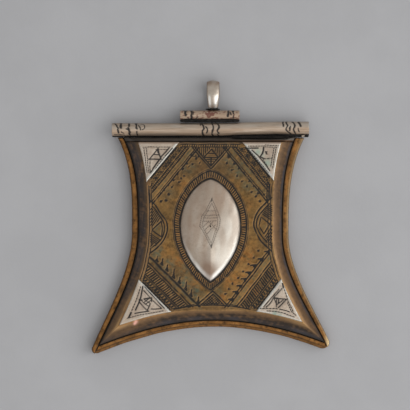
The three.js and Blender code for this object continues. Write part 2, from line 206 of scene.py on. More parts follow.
def waves(x, y, length, seed):
    """A smooth random field of about unit size, with bumps about this long."""
    rng = np.random.default_rng(seed)
    total = 0
    for _ in range(WAVE_COUNT):
        angle, phase = rng.uniform(0, 2 * np.pi, 2)
        wave = length * rng.uniform(0.7, 1.7)
        total = total + np.sin(2 * np.pi * (x * np.cos(angle) + y * np.sin(angle)) / wave + phase)
    return total / math.sqrt(WAVE_COUNT / 2)


def waver(x, y, size, length, seed):
    """Places moved a little, so that lines read there look drawn by hand."""
    return x + size * waves(x, y, length, seed), y + size * waves(x, y, length, seed + 1)


def heading(degrees):
    turn = math.radians(degrees)
    return np.array([math.cos(turn), math.sin(turn)])


def ends_blunted(low, high, pitch, first_step):
    """Places from low to high, with an extra one close to each end."""
    xs = np.linspace(low, high, int((high - low) / pitch))
    return np.concatenate([[xs[0], xs[0] + first_step], xs[1:-1], [xs[-1] - first_step, xs[-1]]])


# Engraving: grooves drawn on a fine grid in millimetres, which a mesh then reads at its own points
class Engraving:
    def __init__(self, low, high, pitch=0.05):
        self.low, self.pitch = np.array(low, float), pitch
        self.size = np.ceil((np.array(high, float) - self.low) / pitch).astype(int) + 1
        self.cut = np.zeros((self.size[1], self.size[0]), np.float32)

    def grid(self):
        xs = self.low[0] + np.arange(self.size[0]) * self.pitch
        ys = self.low[1] + np.arange(self.size[1]) * self.pitch
        return np.meshgrid(xs, ys)

    def _window(self, low, high):
        first = np.clip(np.floor((np.array(low) - self.low) / self.pitch).astype(int), 0, self.size)
        last = np.clip(np.ceil((np.array(high) - self.low) / self.pitch).astype(int) + 1, 0, self.size)
        xs = self.low[0] + np.arange(first[0], last[0]) * self.pitch
        ys = self.low[1] + np.arange(first[1], last[1]) * self.pitch
        return self.cut[first[1]:last[1], first[0]:last[0]], *np.meshgrid(xs, ys)

    def line(self, points, width=0.3, depth=1.0, dash=0.0):
        """A groove along points, this wide on either side. With dash, it is cut in strokes of that length."""
        run = 0.0
        points = np.array(points, float)
        for a, b in zip(points[:-1], points[1:]):
            length = max(math.dist(a, b), 1e-6)
            view, x, y = self._window(np.minimum(a, b) - width, np.maximum(a, b) + width)
            along = ((x - a[0]) * (b[0] - a[0]) + (y - a[1]) * (b[1] - a[1])) / length
            t = np.clip(along, 0, length)
            away = np.hypot(x - a[0] - t * (b[0] - a[0]) / length, y - a[1] - t * (b[1] - a[1]) / length)
            value = depth * 0.5 * (1 + np.cos(np.pi * np.clip(away / width, 0, 1)))
            if dash:
                value = value * (0.68 + 0.32 * np.cos(2 * np.pi * (run + t) / dash))
            np.maximum(view, value, out=view)
            run += length

    def closed(self, points, **how):
        self.line([*points, points[0]], **how)

    def dot(self, x, y, radius=0.35, depth=1.0):
        self.line([(x, y), (x, y)], width=radius * 1.4, depth=depth)

    def tick(self, x, y, angle, length=1.0, width=0.3, depth=1.0):
        """A stroke that narrows from its middle at (x, y)."""
        step = heading(angle) * length / 2
        centre = np.array([x, y])
        self.line([centre - step, centre + step], width=width * 0.7, depth=depth)
        self.line([centre - step / 2, centre + step / 2], width=width, depth=depth)

    def hatch(self, outline, angle, pitch, width, depth):
        """Parallel strokes inside a convex outline."""
        outline = np.array(outline, float)
        way = heading(angle)
        across = np.array([-way[1], way[0]])
        levels = outline @ across
        level = levels.min() + pitch / 2
        while level < levels.max():
            ends = []
            for a, b, la, lb in zip(outline, np.roll(outline, -1, 0), levels, np.roll(levels, -1)):
                if (la - level) * (lb - level) < 0:
                    ends.append((a + (b - a) * (level - la) / (lb - la)) @ way)
            if len(ends) == 2 and max(ends) - min(ends) > width:
                self.line([across * level + way * end for end in sorted(ends)], width=width, depth=depth)
            level += pitch

    def read(self, x, y):
        column = np.clip((x - self.low[0]) / self.pitch, 0, self.size[0] - 1.001)
        row = np.clip((y - self.low[1]) / self.pitch, 0, self.size[1] - 1.001)
        i, j = column.astype(int), row.astype(int)
        fx, fy = column - i, row - j
        c = self.cut
        low = c[j, i] * (1 - fx) + c[j, i + 1] * fx
        high = c[j + 1, i] * (1 - fx) + c[j + 1, i + 1] * fx
        return low * (1 - fy) + high * fy


def rounded(points, steps=6):
    """A smooth curve through a few points."""
    p = np.array(points, float)
    p = np.vstack([2 * p[0] - p[1], p, 2 * p[-1] - p[-2]])
    out = []
    for k in range(1, len(p) - 2):
        for i in range(steps):
            t = i / steps
            out.append(0.5 * (
                2 * p[k] + (p[k + 1] - p[k - 1]) * t
                + (2 * p[k - 1] - 5 * p[k] + 4 * p[k + 1] - p[k + 2]) * t**2
                + (3 * p[k] - p[k - 1] - 3 * p[k + 1] + p[k + 2]) * t**3
            ))
    return [*out, p[-2]]


def away_from(x, y, points):
    """Distance to the nearest of closely spaced points."""
    best = np.full(np.shape(x), 1e9)
    for px, py in points:
        np.minimum(best, np.hypot(x - px, y - py), out=best)
    return best


def densify(points, pitch):
    out = []
    for a, b in zip(points[:-1], points[1:]):
        count = max(1, int(math.ceil(math.dist(a, b) / pitch)))
        out += [(lerp(a[0], b[0], i / count), lerp(a[1], b[1], i / count)) for i in range(count)]
    return [*out, tuple(points[-1])]


# Corner plates: two edges that follow the face and a straight long edge
def plate_edges(name):
    """The two face edges of a corner plate, each from an end of the long edge to the plate's corner."""
    low, high = box_mm(f"corner_plate_{name}")
    side = LEFT if name.endswith("left") else RIGHT
    top = name.startswith("top")
    corner = (wall_x(side, high[1], 1.0), high[1]) if top else wall_corner(side, 1.0)
    steps = np.linspace(0, 1, EDGE_STEPS)
    xs = lerp(high[0] if side is LEFT else low[0], corner[0], steps)
    ys = lerp(low[1] if top else high[1], corner[1], steps)
    level = np.full(EDGE_STEPS, high[1]) if top else wall_y(xs, 1.0)
    return np.stack([wall_x(side, ys, 1.0), ys], 1), np.stack([xs, level], 1)


PLATES = {name: plate_edges(name) for name in ("top_left", "top_right", "bottom_left", "bottom_right")}


class Along:
    """Places beside a plate's long edge: t along it, o square to it, towards the middle of the face."""

    def __init__(self, name):
        one, two = PLATES[name]
        self.a, self.b = one[0], two[0]
        self.length = math.dist(self.a, self.b)
        self.way = (self.b - self.a) / self.length
        self.out = np.array([-self.way[1], self.way[0]])
        if self.out @ -self.a < 0:
            self.out = -self.out

    def at(self, t, o):
        return self.a + self.way * t + self.out * o


# Boss: an almond, rounder at the top than at the foot
BOSS_X, BOSS_Y = -0.1, 1.3
BOSS_SIZE = (9.8, 15.4, 18.1)
BOSS_BLUNTNESS = (1.3, 1.76)
BOSS_RISE = box_mm("boss_dome")[1][2] - FACE_Z
RING_POINTS = 240


def almond(size, angle):
    """Points of an almond, from its half width and its reach up and down."""
    half, up, down = size
    top = np.sin(angle) > 0
    across = np.sign(np.cos(angle)) * np.abs(np.cos(angle)) ** np.where(top, *BOSS_BLUNTNESS)
    return BOSS_X + half * across, BOSS_Y + np.sin(angle) * np.where(top, up, down)


def boss_ring(*growth):
    """An almond round the boss, larger by these lengths across, up and down."""
    size = [length + more for length, more in zip(BOSS_SIZE, growth)]
    return np.stack(almond(size, np.linspace(0, 2 * np.pi, RING_POINTS, endpoint=False)), 1)


# Face ornament, in millimetres
FACE_GRID = (-32, -33), (32, 30)
BORDER_INSETS = (0.55, 1.45)
BORDER_TOP_YS = (28.2, 27.3)
BORDER_HEM = 0.8
BAND_OVERRUN = 8.0

# Rows along the bands beside the plates: offset from the plate's edge, half width, depth
TOP_ROWS = ((0.2, 0.7, 1), (2.65, 0.38, 1), (3.6, 0.36, 1), (5.35, 0.26, 0.8), (6, 0.4, 1))
BOTTOM_ROWS = ((0.15, 0.55, 1), (2.1, 0.3, 0.9), (2.65, 0.34, 1))
LEFT_ROWS = ((5.35, 0.3, 1), (6.1, 0.38, 1), (7.7, 0.55, 1))
RIGHT_ROWS = ((5.3, 0.3, 1), (6.05, 0.36, 1), (8.2, 0.36, 1), (8.95, 0.34, 1))

# Strokes that repeat along the bands: distance, half width, depth, then points as (along, offset)
TOP_STEPS = (
    (1.3, 0.24, 0.85, (0, 2.1), (0.65, 1), (1.3, 2.1)), (1.3, 0.34, 0.85, (0.65, 1.7), (0.65, 2.05)),
    (1.3, 0.34, 0.85, (0, 0.9), (0, 1.2)), (0.6, 0.2, 0.75, (0, 2.95), (0.1, 3.3)),
)


def bottom_steps(slant):
    return (
        (1.1, 0.5, 1, (0, 1.05), (slant * 2, 1.6)), (1.1, 0.36, 1, (0.55, 0.7), (0.6, 0.9)),
        (0.78, 0.34, 1, (0, 2.95), (slant * 4, 5.05)),
    )


BANDS = {
    "top_left": (TOP_ROWS, TOP_STEPS),
    "top_right": (TOP_ROWS, TOP_STEPS),
    "bottom_left": (BOTTOM_ROWS + LEFT_ROWS, bottom_steps(0.1)),
    "bottom_right": (BOTTOM_ROWS + RIGHT_ROWS, bottom_steps(-0.14)),
}

# Punched dots beside the bands: x, y, radius
BAND_DOTS = {
    "top_left": (
        (-9.3, 20, 0.36), (-10.9, 18.2, 0.3), (-7.9, 21.9, 0.45), (-6, 21.7, 0.36), (-7.2, 20.9, 0.26),
        (-4.8, 23.5, 0.46), (-8.8, 17.7, 0.36), (-10.5, 15.8, 0.34), (-12.8, 14.1, 0.34),
        (-13.8, 11.7, 0.46), (-14.7, 9.7, 0.5), (-12.2, 16.4, 0.3), (-14, 14.7, 0.34), (-15.4, 13.2, 0.3),
        (-16.4, 12.2, 0.36), (-16.4, 9.4, 0.42), (-3.7, 22, 0.24), (-9.9, 16.9, 0.24),
    ),
    "top_right": (
        (5.9, 24.3, 0.7), (5.3, 22, 0.4), (7.6, 21.8, 0.4), (6.9, 19.7, 0.34), (9.2, 20.3, 0.4),
        (8.6, 17.8, 0.4), (10.8, 18.9, 0.32), (10.2, 16.1, 0.34), (12.6, 16.1, 0.34), (11.8, 14.4, 0.36),
        (14.1, 14.5, 0.4), (13.3, 12.5, 0.38), (14.9, 11.1, 0.4), (16.2, 9.5, 0.44), (15.5, 12.1, 0.4),
        (17.4, 11.6, 0.4), (12.2, 17.6, 0.3), (15.6, 13.5, 0.28),
    ),
    "bottom_right": (
        (15.7, -6.8, 0.42), (14.1, -9.1, 0.36), (12.4, -11.2, 0.36), (10.6, -13.6, 0.38),
        (8.95, -15.8, 0.36), (7.15, -17.6, 0.34), (5.95, -19.4, 0.36), (4.7, -21, 0.32),
    ),
}

# Fins on the lower left band: tip, then the height of the foot
FLAMES = (
    (-17.2, -8.2, -10.5), (-15.5, -8.8, -11.6), (-13.9, -11, -13.6), (-11.7, -12.3, -15.8),
    (-9.9, -15, -17.6), (-7.7, -16.3, -19.8), (-6, -19.1, -21.8), (-3.7, -21.5, -24.2),
)

# Fins on the lower right band
LEAVES = (
    (18.6, -7.1), (16.4, -9.6), (14.1, -11.7), (12.4, -14), (10.9, -16.2), (9.5, -18.4), (8.1, -20.4),
    (6.8, -22.8),
)

# Motifs on the face: half width, then the points of straight lines, of curves and of closed lines
MOTIF_LINES = (
    (0.36, (-6, 27), (0.1, 20.1), (6.2, 27)), (0.36, (-5.1, 27), (0.1, 21.1), (5.3, 27)),
    (0.3, (-1.2, 25.2), (1.6, 25.2)), (0.36, (0.2, 23.6), (0.1, 21.6)), (0.28, (-1.3, 23.3), (1.5, 23.3)),
    (0.26, (-0.8, 22.7), (1, 22.7)), (0.34, (18.45, 15.2), (18.45, 9.6)), (0.34, (19.4, 15.2), (19.4, 10.2)),
    (0.36, (-20, 14.4), (-20, 9)), (0.34, (-4.6, -24.6), (0.7, -20), (5.3, -24.4)),
    (0.34, (-3.3, -24.6), (0.7, -21.1), (4.2, -24.4)),
)
MOTIF_CURVES = (
    (0.4, (-19.8, 9.6), (-18.6, 8.6), (-16.5, 5.6), (-14.95, 3.5), (-14.3, 1.6), (-14.4, -0.6), (-15.4, -3),
     (-17.3, -5.4), (-19.7, -7.4)),
    (0.36, (-19.2, 7.9), (-17.3, 5.5), (-15.9, 3.3), (-15.3, 1.5), (-15.4, -0.7), (-16.3, -2.8), (-18.3, -5)),
    (0.4, (20, 10.6), (18.2, 9.2), (15.9, 6.7), (14.6, 4.2), (14.1, 1.9), (14.65, -0.1), (16, -2.9),
     (17.9, -5), (20, -6.8)),
    (0.36, (19.4, 8.9), (17.2, 6.6), (15.6, 4.4), (15, 1.9), (15.6, 0), (16.6, -1.9), (18.4, -4)),
    (0.36, (-12, -26), (-10, -25.6), (-6, -24.9), (0.3, -24.6), (6, -24.9), (10, -25.5), (13, -26)),
)
MOTIF_LOOPS = (
    (0.34, (0.25, 26.6), (-2.3, 23.9), (2.5, 23.9)),
    (0.34, (16.5, 4.3), (19.4, 2), (17.4, -1.2), (15.9, 1.5)),
    (0.34, (-19.3, 0), (-16.3, 2.9), (-15.9, 0.5), (-16.2, -2.2)),
)

# Hatched fields: angle, distance between strokes, half width, depth, then the outline
MOTIF_FIELDS = (
    (90, 0.62, 0.3, 0.9, (-4.9, 27), (-0.2, 27), (-2.6, 24.3)),
    (90, 0.62, 0.3, 0.9, (4.9, 27), (0.7, 27), (2.9, 24.4)),
    (56, 0.58, 0.29, 0.9, (-19.8, 0.7), (-16.6, 3.7), (-18.2, 6), (-19.8, 7.6)),
    (-34, 0.58, 0.29, 0.9, (-19.8, -0.8), (-16.6, -2.9), (-18.2, -4.6), (-19.8, -4.2)),
    (42, 0.58, 0.29, 0.9, (-19.8, -4.6), (-18.2, -5), (-19.9, -6.6)),
    (-34, 0.58, 0.29, 0.9, (16.8, 5.2), (20, 2.9), (20, 8.6), (18.9, 8.2)),
    (58, 0.58, 0.29, 0.9, (20, 1.5), (17.7, -1.9), (18.7, -3.7), (20, -3.6)),
    (-30, 0.58, 0.29, 0.9, (18.7, -4.2), (20.1, -4), (20.1, -6.2)),
    (38, 0.66, 0.26, 0.85, (-2.7, -24.4), (0.7, -21.3), (3.8, -24.3)),
    (-46, 0.66, 0.26, 0.85, (-2.7, -24.4), (0.7, -21.3), (3.8, -24.3)),
)
CROWN_LEAF = ((-6.6, 24.4), (-5.9, 25.6), (-4.6, 25.3), (-3.9, 24))
HEM_DASHES = ((-9, -25), (-5, -24.35), (0.3, -24.1), (6, -24.4), (9, -24.9))

# Rings round the boss as growth, half width and depth, and the two rings between which the ticks run
BOSS_RINGS = (((0.2, 0.3, 0.35), 0.55, 1), ((2.1, 2.7, 2.85), 0.42, 1), ((2.65, 3.25, 3.4), 0.22, 0.5))
BOSS_TICKS, BOSS_TICK_ENDS = 122, ((0.75, 1.0, 1.1), (1.85, 2.4, 2.5))


def face_edge_gap(x, y):
    """How far a point lies inside the face's left edge, its right edge and its lower edge."""
    return x - wall_x(LEFT, y, 1.0), wall_x(RIGHT, y, 1.0) - x, y - wall_y(x, 1.0)


def engrave_band_row(art, beside, offset, width, depth):
    ends = -BAND_OVERRUN, beside.length + BAND_OVERRUN
    art.line([beside.at(t, offset) for t in ends], width=width, depth=depth)


def engrave_steps(art, beside, pitch, width, depth, *stroke):
    """The same stroke again and again along a band, bolder at some places than at others."""
    for i in range(int((beside.length + 2 * BAND_OVERRUN - 1) / pitch)):
        t = i * pitch - BAND_OVERRUN
        bold = width * (0.8 + 0.06 * (i * 5 % 11))
        art.line([beside.at(t + a, o) for a, o in stroke], width=bold, depth=depth)


def engrave_bands(art):
    """Rows of work along the long edge of each corner plate."""
    for name, (rows, steps) in BANDS.items():
        beside = Along(name)
        for row in rows:
            engrave_band_row(art, beside, *row)
        for step in steps:
            engrave_steps(art, beside, *step)
        for k, (x, y, radius) in enumerate(BAND_DOTS.get(name, ())):
            art.dot(x, y, radius=radius * 1.1)
            art.tick(x + 0.15, y + 0.1, 40 + 47 * k, 0.8, 0.3, 0.7)


def engrave_fins(art):
    """Flames on the lower left band and leaves on the lower right band."""
    for tip_x, tip_y, foot_y in FLAMES:
        x, tall = tip_x - 0.2, 0.8 * (tip_y - foot_y)
        stem = [(x - 0.1, foot_y + tall), (x - 0.2, foot_y + 0.5 * tall), (x + 0.1, foot_y)]
        art.line(rounded(stem), width=0.34)
        for up in (0.0, 0.25, 0.5):
            y = foot_y + up * tall
            art.line([(x - 0.8 * (0.85 - up), y + 0.55 * (1 - up)), (x, y)], width=0.4 - 0.2 * up)
    for x, y in LEAVES:
        art.line([(x - 0.85, y + 0.1), (x + 0.8, y + 0.25)], width=0.42)
        art.line([(x - 0.1, y - 0.05), (x + 0.45, y - 0.6), (x + 0.75, y + 0.1)], width=0.42)
        art.dot(x + 0.3, y - 0.1, radius=0.4)


def engrave_motifs(art):
    """The hatched V under the upper border, the half almonds at the sides and the tent under the boss."""
    for width, *points in MOTIF_LINES:
        art.line(points, width=width)
    for width, *points in MOTIF_CURVES:
        art.line(rounded(points), width=width)
    for width, *points in MOTIF_LOOPS:
        art.closed(points, width=width)
    for angle, pitch, width, depth, *outline in MOTIF_FIELDS:
        art.hatch(outline, angle, pitch, width, depth)
    art.closed(rounded(CROWN_LEAF), width=0.26, depth=0.85)
    art.dot(-4.9, 24.6, radius=0.34)
    art.line(rounded(HEM_DASHES), width=0.26, dash=1.6)
    art.tick(13.2, -24.7, 8, 1.6, 0.4)


def engrave_border(art):
    """Double lines down both sides and across the top, with ticks between the upper two."""
    for side, span in ((LEFT, (-16.0, 14.6)), (RIGHT, (-15.6, 15.2))):
        ys = np.linspace(*span, 60)
        for inset in BORDER_INSETS:
            art.line(np.stack([wall_x(side, ys, 1.0, inset), ys], 1), width=0.26, depth=0.9)
    for level in BORDER_TOP_YS:
        art.line([(-10.0, level), (9.6, level)], width=0.3, depth=0.85)
    for i in range(25):
        art.tick(-9.2 + i * 0.75, 27.75, 75, 0.7, 0.28)


def engrave_boss_border(art):
    """Rings round the boss, with close ticks between them."""
    for growth, width, depth in BOSS_RINGS:
        art.closed(boss_ring(*growth), width=width, depth=depth)
    shares = np.linspace(0, 1, BOSS_TICKS)
    inner, outer = (resample(boss_ring(*growth), shares) for growth in BOSS_TICK_ENDS)
    for k, ends in enumerate(zip(inner, outer)):
        art.line(ends, width=0.3 + 0.08 * (k * 3 % 5 > 2), depth=0.95)


def engrave_face():
    art = Engraving(*FACE_GRID)
    level = art.grid()[1]
    left, right, hem = face_edge_gap(*art.grid())
    engrave_bands(art)
    engrave_fins(art)
    inside = (np.minimum(left, right) > BORDER_INSETS[1]) & (hem > BORDER_HEM) & (level < BORDER_TOP_YS[1])
    art.cut *= inside
    engrave_motifs(art)
    engrave_border(art)
    engrave_boss_border(art)
    return art


# Tones of the worked bands: half width and depth of the dark row beside each plate
WORKED_ROWS = {
    "top_left": (1.2, 0.45), "top_right": (1.2, 0.4), "bottom_left": (2.2, 0.5), "bottom_right": (1.6, 0.3),
}

# Soft patches on the face: x, y, radius and strength
DARK_PATCHES = (
    (0.2, 26, 5, 0.7), (0, 21, 9, 0.7), (-11.5, 16.5, 4, 0.5), (-17.8, 3.5, 3.4, 0.6),
    (-18, -4.5, 3, 0.6), (18.4, 5, 3.2, 0.6), (18.6, -3.5, 2.8, 0.6), (0.7, -24, 3.4, 0.5),
    (-8, 23.5, 5, 0.3), (9, 24, 5, 0.25), (-21, -8, 3.5, 0.5), (-13, -25, 4, 0.6), (-12.5, 8, 3, 0.25),
    (-10.5, -12.5, 2.6, 0.2), (-13, -15, 6, 0.45), (-17.5, -12, 4, 0.4), (-9, 19.5, 4.5, 0.45),
    (-14, 12.5, 3.5, 0.4), (-6.8, -19.5, 3.2, 0.4),
)
GREEN_PATCHES = (
    (-17, 0.6, 1.8, 0.9), (-17.6, -7, 2.6, 0.85), (-14, -11.8, 3, 0.6), (-9, -17.5, 3.6, 0.8),
    (-5, -20.8, 3.2, 0.8), (8.5, 19.8, 3.4, 0.7), (5.6, 23.2, 3, 0.6), (-7.4, 20.6, 3, 0.5),
    (-14, 12.4, 2.6, 0.5), (17.4, 1.4, 1.2, 0.3), (2.3, -20.4, 2.6, 0.4), (-6.2, 25, 1.6, 0.6),
    (12.6, 14.8, 3.2, 0.55), (-6.8, 12.8, 1.8, 0.35), (-8.6, -13.6, 2.4, 0.5), (14.6, 12.8, 2, 0.5),
)
WARM_PATCHES = (
    (11.5, -7.8, 4.4, 0.9), (7.2, -16, 4.6, 0.8), (14.5, -19.3, 2.6, 0.9), (12.6, -21.4, 2.4, 0.8),
    (-8.3, 14, 2.4, 1), (-14, -7.2, 2.6, 0.5), (-9.8, -9.8, 3.4, 0.8), (6, 13.8, 4, 0.5),
    (12.6, 8.4, 3, 0.4), (-4.6, -17.8, 2.2, 0.8), (13.4, -12.4, 3, 0.6), (4.2, -22.2, 2, 0.9),
    (-2.2, 19.2, 3, 0.35), (-11.4, 2, 2.4, 0.35), (0.3, 25, 1.6, 0.7), (-15.8, -19.5, 2, 0.4),
    (11, -16, 3.2, 0.6),
)

# Bright spots on the lower wall: x, y, size
GLINTS = ((-24.6, -30.1, 0.42), (-25.0, -30.8, 0.3))


def face_tones():
    """Soft patches on the face: dark patina in the worked bands, green crust, and warm brass."""
    dark, green, warm = (Engraving(*FACE_GRID, pitch=0.2) for _ in range(3))
    for name, (width, depth) in WORKED_ROWS.items():
        beside = Along(name)
        engrave_band_row(dark, beside, 0.3, width, depth)
        if name.startswith("top"):
            engrave_band_row(dark, beside, 3.1, 1.4, 0.25)
            engrave_band_row(green, beside, 4.4, 0.95, 0.45)
        else:
            engrave_band_row(dark, beside, 4.2, 2.4, 0.35)
            engrave_band_row(green, beside, 7.3, 0.95, 0.45)
    for tone, patches in ((dark, DARK_PATCHES), (green, GREEN_PATCHES), (warm, WARM_PATCHES)):
        for patch in patches:
            tone.dot(*patch)
    warm.closed(boss_ring(1.2, 1.2, 1.4), width=1.2, depth=0.8)
    return dark, green, warm


# Meshes
def grid_quads(rows, columns, flip=False):
    first = np.arange(rows - 1)[:, None] * columns + np.arange(columns - 1)[None]
    quads = np.stack([first, first + 1, first + columns + 1, first + columns], -1).reshape(-1, 4)
    return quads[:, ::-1] if flip else quads


class Patchwork:
    """Grids of points, each with its marks, that are joined where their points meet."""

    def __init__(self):
        self.points, self.quads, self.marks, self.count = [], [], {}, 0

    def add(self, x, y, z, flip=False, **marks):
        shape = np.broadcast(x, y, z).shape
        points = np.stack([np.broadcast_to(v, shape) for v in (x, y, z)], -1).reshape(-1, 3)
        self.quads.append(grid_quads(*shape, flip=flip) + self.count)
        for name in {**self.marks, **marks}:
            earlier = self.marks.setdefault(name, [np.zeros(self.count)])
            earlier.append(np.broadcast_to(marks.get(name, 0.0), shape).reshape(-1))
        self.points.append(points)
        self.count += len(points)

    def skirt(self, x, y, z, level, flip=False, **marks):
        """A row of faces from a line of points down to a level."""
        self.add(x[None], y[None], np.stack([z, np.full(len(z), level)]), flip, **marks)

    def bridge(self, outer, inner, pick, **marks):
        """A row of faces between the same row or column of two grids."""
        self.add(*(np.stack([a[pick], b[pick]]) for a, b in zip(outer, inner)), **marks)

    def joined(self, dropped=None):
        """Points, faces and marks, with points that meet made one and the dropped points left out."""
        points, quads = np.concatenate(self.points), np.concatenate(self.quads)
        keys = np.round(points / WELD).astype(np.int64)
        _, first, merged = np.unique(keys, axis=0, return_index=True, return_inverse=True)
        points, quads = points[first], merged.reshape(-1)[quads]
        keep = (np.diff(np.sort(quads, 1), axis=1) > 0).all(1)
        if dropped is not None:
            keep &= ~dropped(points)[quads].all(1)
        quads = quads[keep]
        used = np.unique(quads)
        place = np.zeros(len(points), np.int64)
        place[used] = np.arange(len(used))
        marks = {name: np.concatenate(values)[first][used] for name, values in self.marks.items()}
        return points[used], place[quads], marks


def make_piece(name, points, faces, material, body, node=None, marks=None, closed=False):
    """A smooth mesh from points in millimetres, on its body, with its material, node and slot."""
    mesh = bpy.data.meshes.new(name)
    points = np.asarray(points) * MM
    if isinstance(faces, np.ndarray):
        mesh.vertices.add(len(points))
        mesh.vertices.foreach_set("co", points.astype(np.float32).ravel())
        mesh.loops.add(faces.size)
        mesh.loops.foreach_set("vertex_index", faces.astype(np.int32).ravel())
        mesh.polygons.add(len(faces))
        starts = np.arange(0, faces.size, faces.shape[1], dtype=np.int32)
        mesh.polygons.foreach_set("loop_start", starts)
        mesh.update(calc_edges=True)
    else:
        mesh.from_pydata(points.tolist(), [], faces)
    mesh.validate()
    if closed:
        turned = bmesh.new()
        turned.from_mesh(mesh)
        bmesh.ops.recalc_face_normals(turned, faces=turned.faces)
        turned.to_mesh(mesh)
        turned.free()
    mesh.shade_smooth()
    for mark, values in (marks or {}).items():
        layer = mesh.attributes.new(mark, "FLOAT", "POINT")
        layer.data.foreach_set("value", np.asarray(values, np.float32))
    made = bpy.data.objects.new(name, mesh)
    bpy.context.scene.collection.objects.link(made)
    mesh.materials.append(MATERIALS[material])
    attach(made, body)
    if node:
        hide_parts(node)
    return made


# Materials
SOCKET_PLACES = {"first": 0, "second": 1}


def add_node(tree, kind, settings=None, **sockets):
    """A node with its inputs linked or set. An input goes by its name, with _ for a space, or place."""
    made = tree.nodes.new(kind)
    for key, value in (settings or {}).items():
        setattr(made, key, value)
    for key, value in sockets.items():
        socket = made.inputs[SOCKET_PLACES.get(key, key.replace("_", " "))]
        if isinstance(value, bpy.types.NodeSocket):
            tree.links.new(value, socket)
        else:
            socket.default_value = value
    return made


def colour(red, green, blue):
    """A colour given as a picture shows it, from 0 to 255."""
    shares = [v / 255 for v in (red, green, blue)]
    linear = [v / 12.92 if v <= 0.04045 else ((v + 0.055) / 1.055) ** 2.4 for v in shares]
    return (*linear, 1.0)


class Surface:
    """A procedural material built up in layers of colour, from the metal up."""

    def __init__(self, name, base, roughness, metallic, stretch):
        self.material = bpy.data.materials.new(name)
        self.material.use_nodes = True
        self.tree = self.material.node_tree
        place = add_node(self.tree, "ShaderNodeTexCoord").outputs["Object"]
        self.place = add_node(self.tree, "ShaderNodeMapping", Vector=place, Scale=stretch).outputs[0]
        self.colour, self.roughness, self.metallic = colour(*base), roughness, metallic
        self.height = None

    def noise(self, size, seed, low=0.35, high=0.65, power=1.0, detail=4.0):
        """Noise with features about size millimetres across, from 0 to power between low and high."""
        shift = (seed, seed * 0.7, seed * 1.3)
        moved = add_node(self.tree, "ShaderNodeMapping", Vector=self.place, Location=shift).outputs[0]
        made = add_node(
            self.tree, "ShaderNodeTexNoise",
            Vector=moved, Scale=1 / (size * MM), Detail=detail, Roughness=0.6,
        )
        spread = add_node(
            self.tree, "ShaderNodeMapRange", {"interpolation_type": "SMOOTHSTEP"},
            Value=made.outputs["Fac"], From_Min=low, From_Max=high, To_Min=0.0, To_Max=power,
        )
        return spread.outputs["Result"]

    def mark(self, name):
        return add_node(self.tree, "ShaderNodeAttribute", {"attribute_name": name}).outputs["Fac"]

    def sum(self, how, a, b):
        return add_node(self.tree, "ShaderNodeMath", {"operation": how}, first=a, second=b).outputs[0]

    def layer(self, mask, over, roughness=None, metallic=None):
        """Lays a colour over what is there, where mask is 1."""
        mix = add_node(self.tree, "ShaderNodeMixRGB", Fac=mask, Color1=self.colour, Color2=over)
        self.colour = mix.outputs[0]
        for name, value in (("roughness", roughness), ("metallic", metallic)):
            if value is not None:
                shift = self.sum("SUBTRACT", value, getattr(self, name))
                setattr(self, name, self.sum("ADD", getattr(self, name), self.sum("MULTIPLY", mask, shift)))

    def bump(self, height, depth):
        """Adds relief of this depth in millimetres."""
        scaled = self.sum("MULTIPLY", height, depth)
        self.height = scaled if self.height is None else self.sum("ADD", self.height, scaled)

    def done(self):
        looks = (("Base Color", self.colour), ("Roughness", self.roughness), ("Metallic", self.metallic))
        shader = self.tree.nodes["Principled BSDF"]
        for name, value in looks:
            socket = shader.inputs[name]
            if isinstance(value, bpy.types.NodeSocket):
                self.tree.links.new(value, socket)
            else:
                socket.default_value = value
        bump = add_node(self.tree, "ShaderNodeBump", Height=self.height, Distance=MM, Strength=1.0)
        self.tree.links.new(bump.outputs[0], shader.inputs["Normal"])
        return self.material


def silver_layers(shaded, *streaks):
    """Worn silver: its colour where it is dark with oxide or painted in shade, its painted highlights, and
    the streaks of drawn sheet.
    """
    return (
        ((8, 11), (184, 167, 149), 0.42), ((1.8, 12, 0.5, 0.85), (162, 142, 124), 0.48),
        ((0.6, 15, 0.5, 0.8, 0.5), (146, 128, 112), 0.5), ("wear", (198, 194, 185), 0.36),
        ("tarnish", shaded, 0.5, 0.3), *streaks, ("stain", (150, 166, 150), 0.7, 0.3),
        ("red", (100, 46, 36), 0.8, 0.1), ("shine", (254, 251, 245), 0.24, 0.6),
        ("groove", (34, 30, 28), 0.75, 0.2),
    )


SILVER = dict(base=(198, 184, 168), roughness=0.38, bumps=((0.025, 0.45, 13), (0.06, 2.6, 14)))

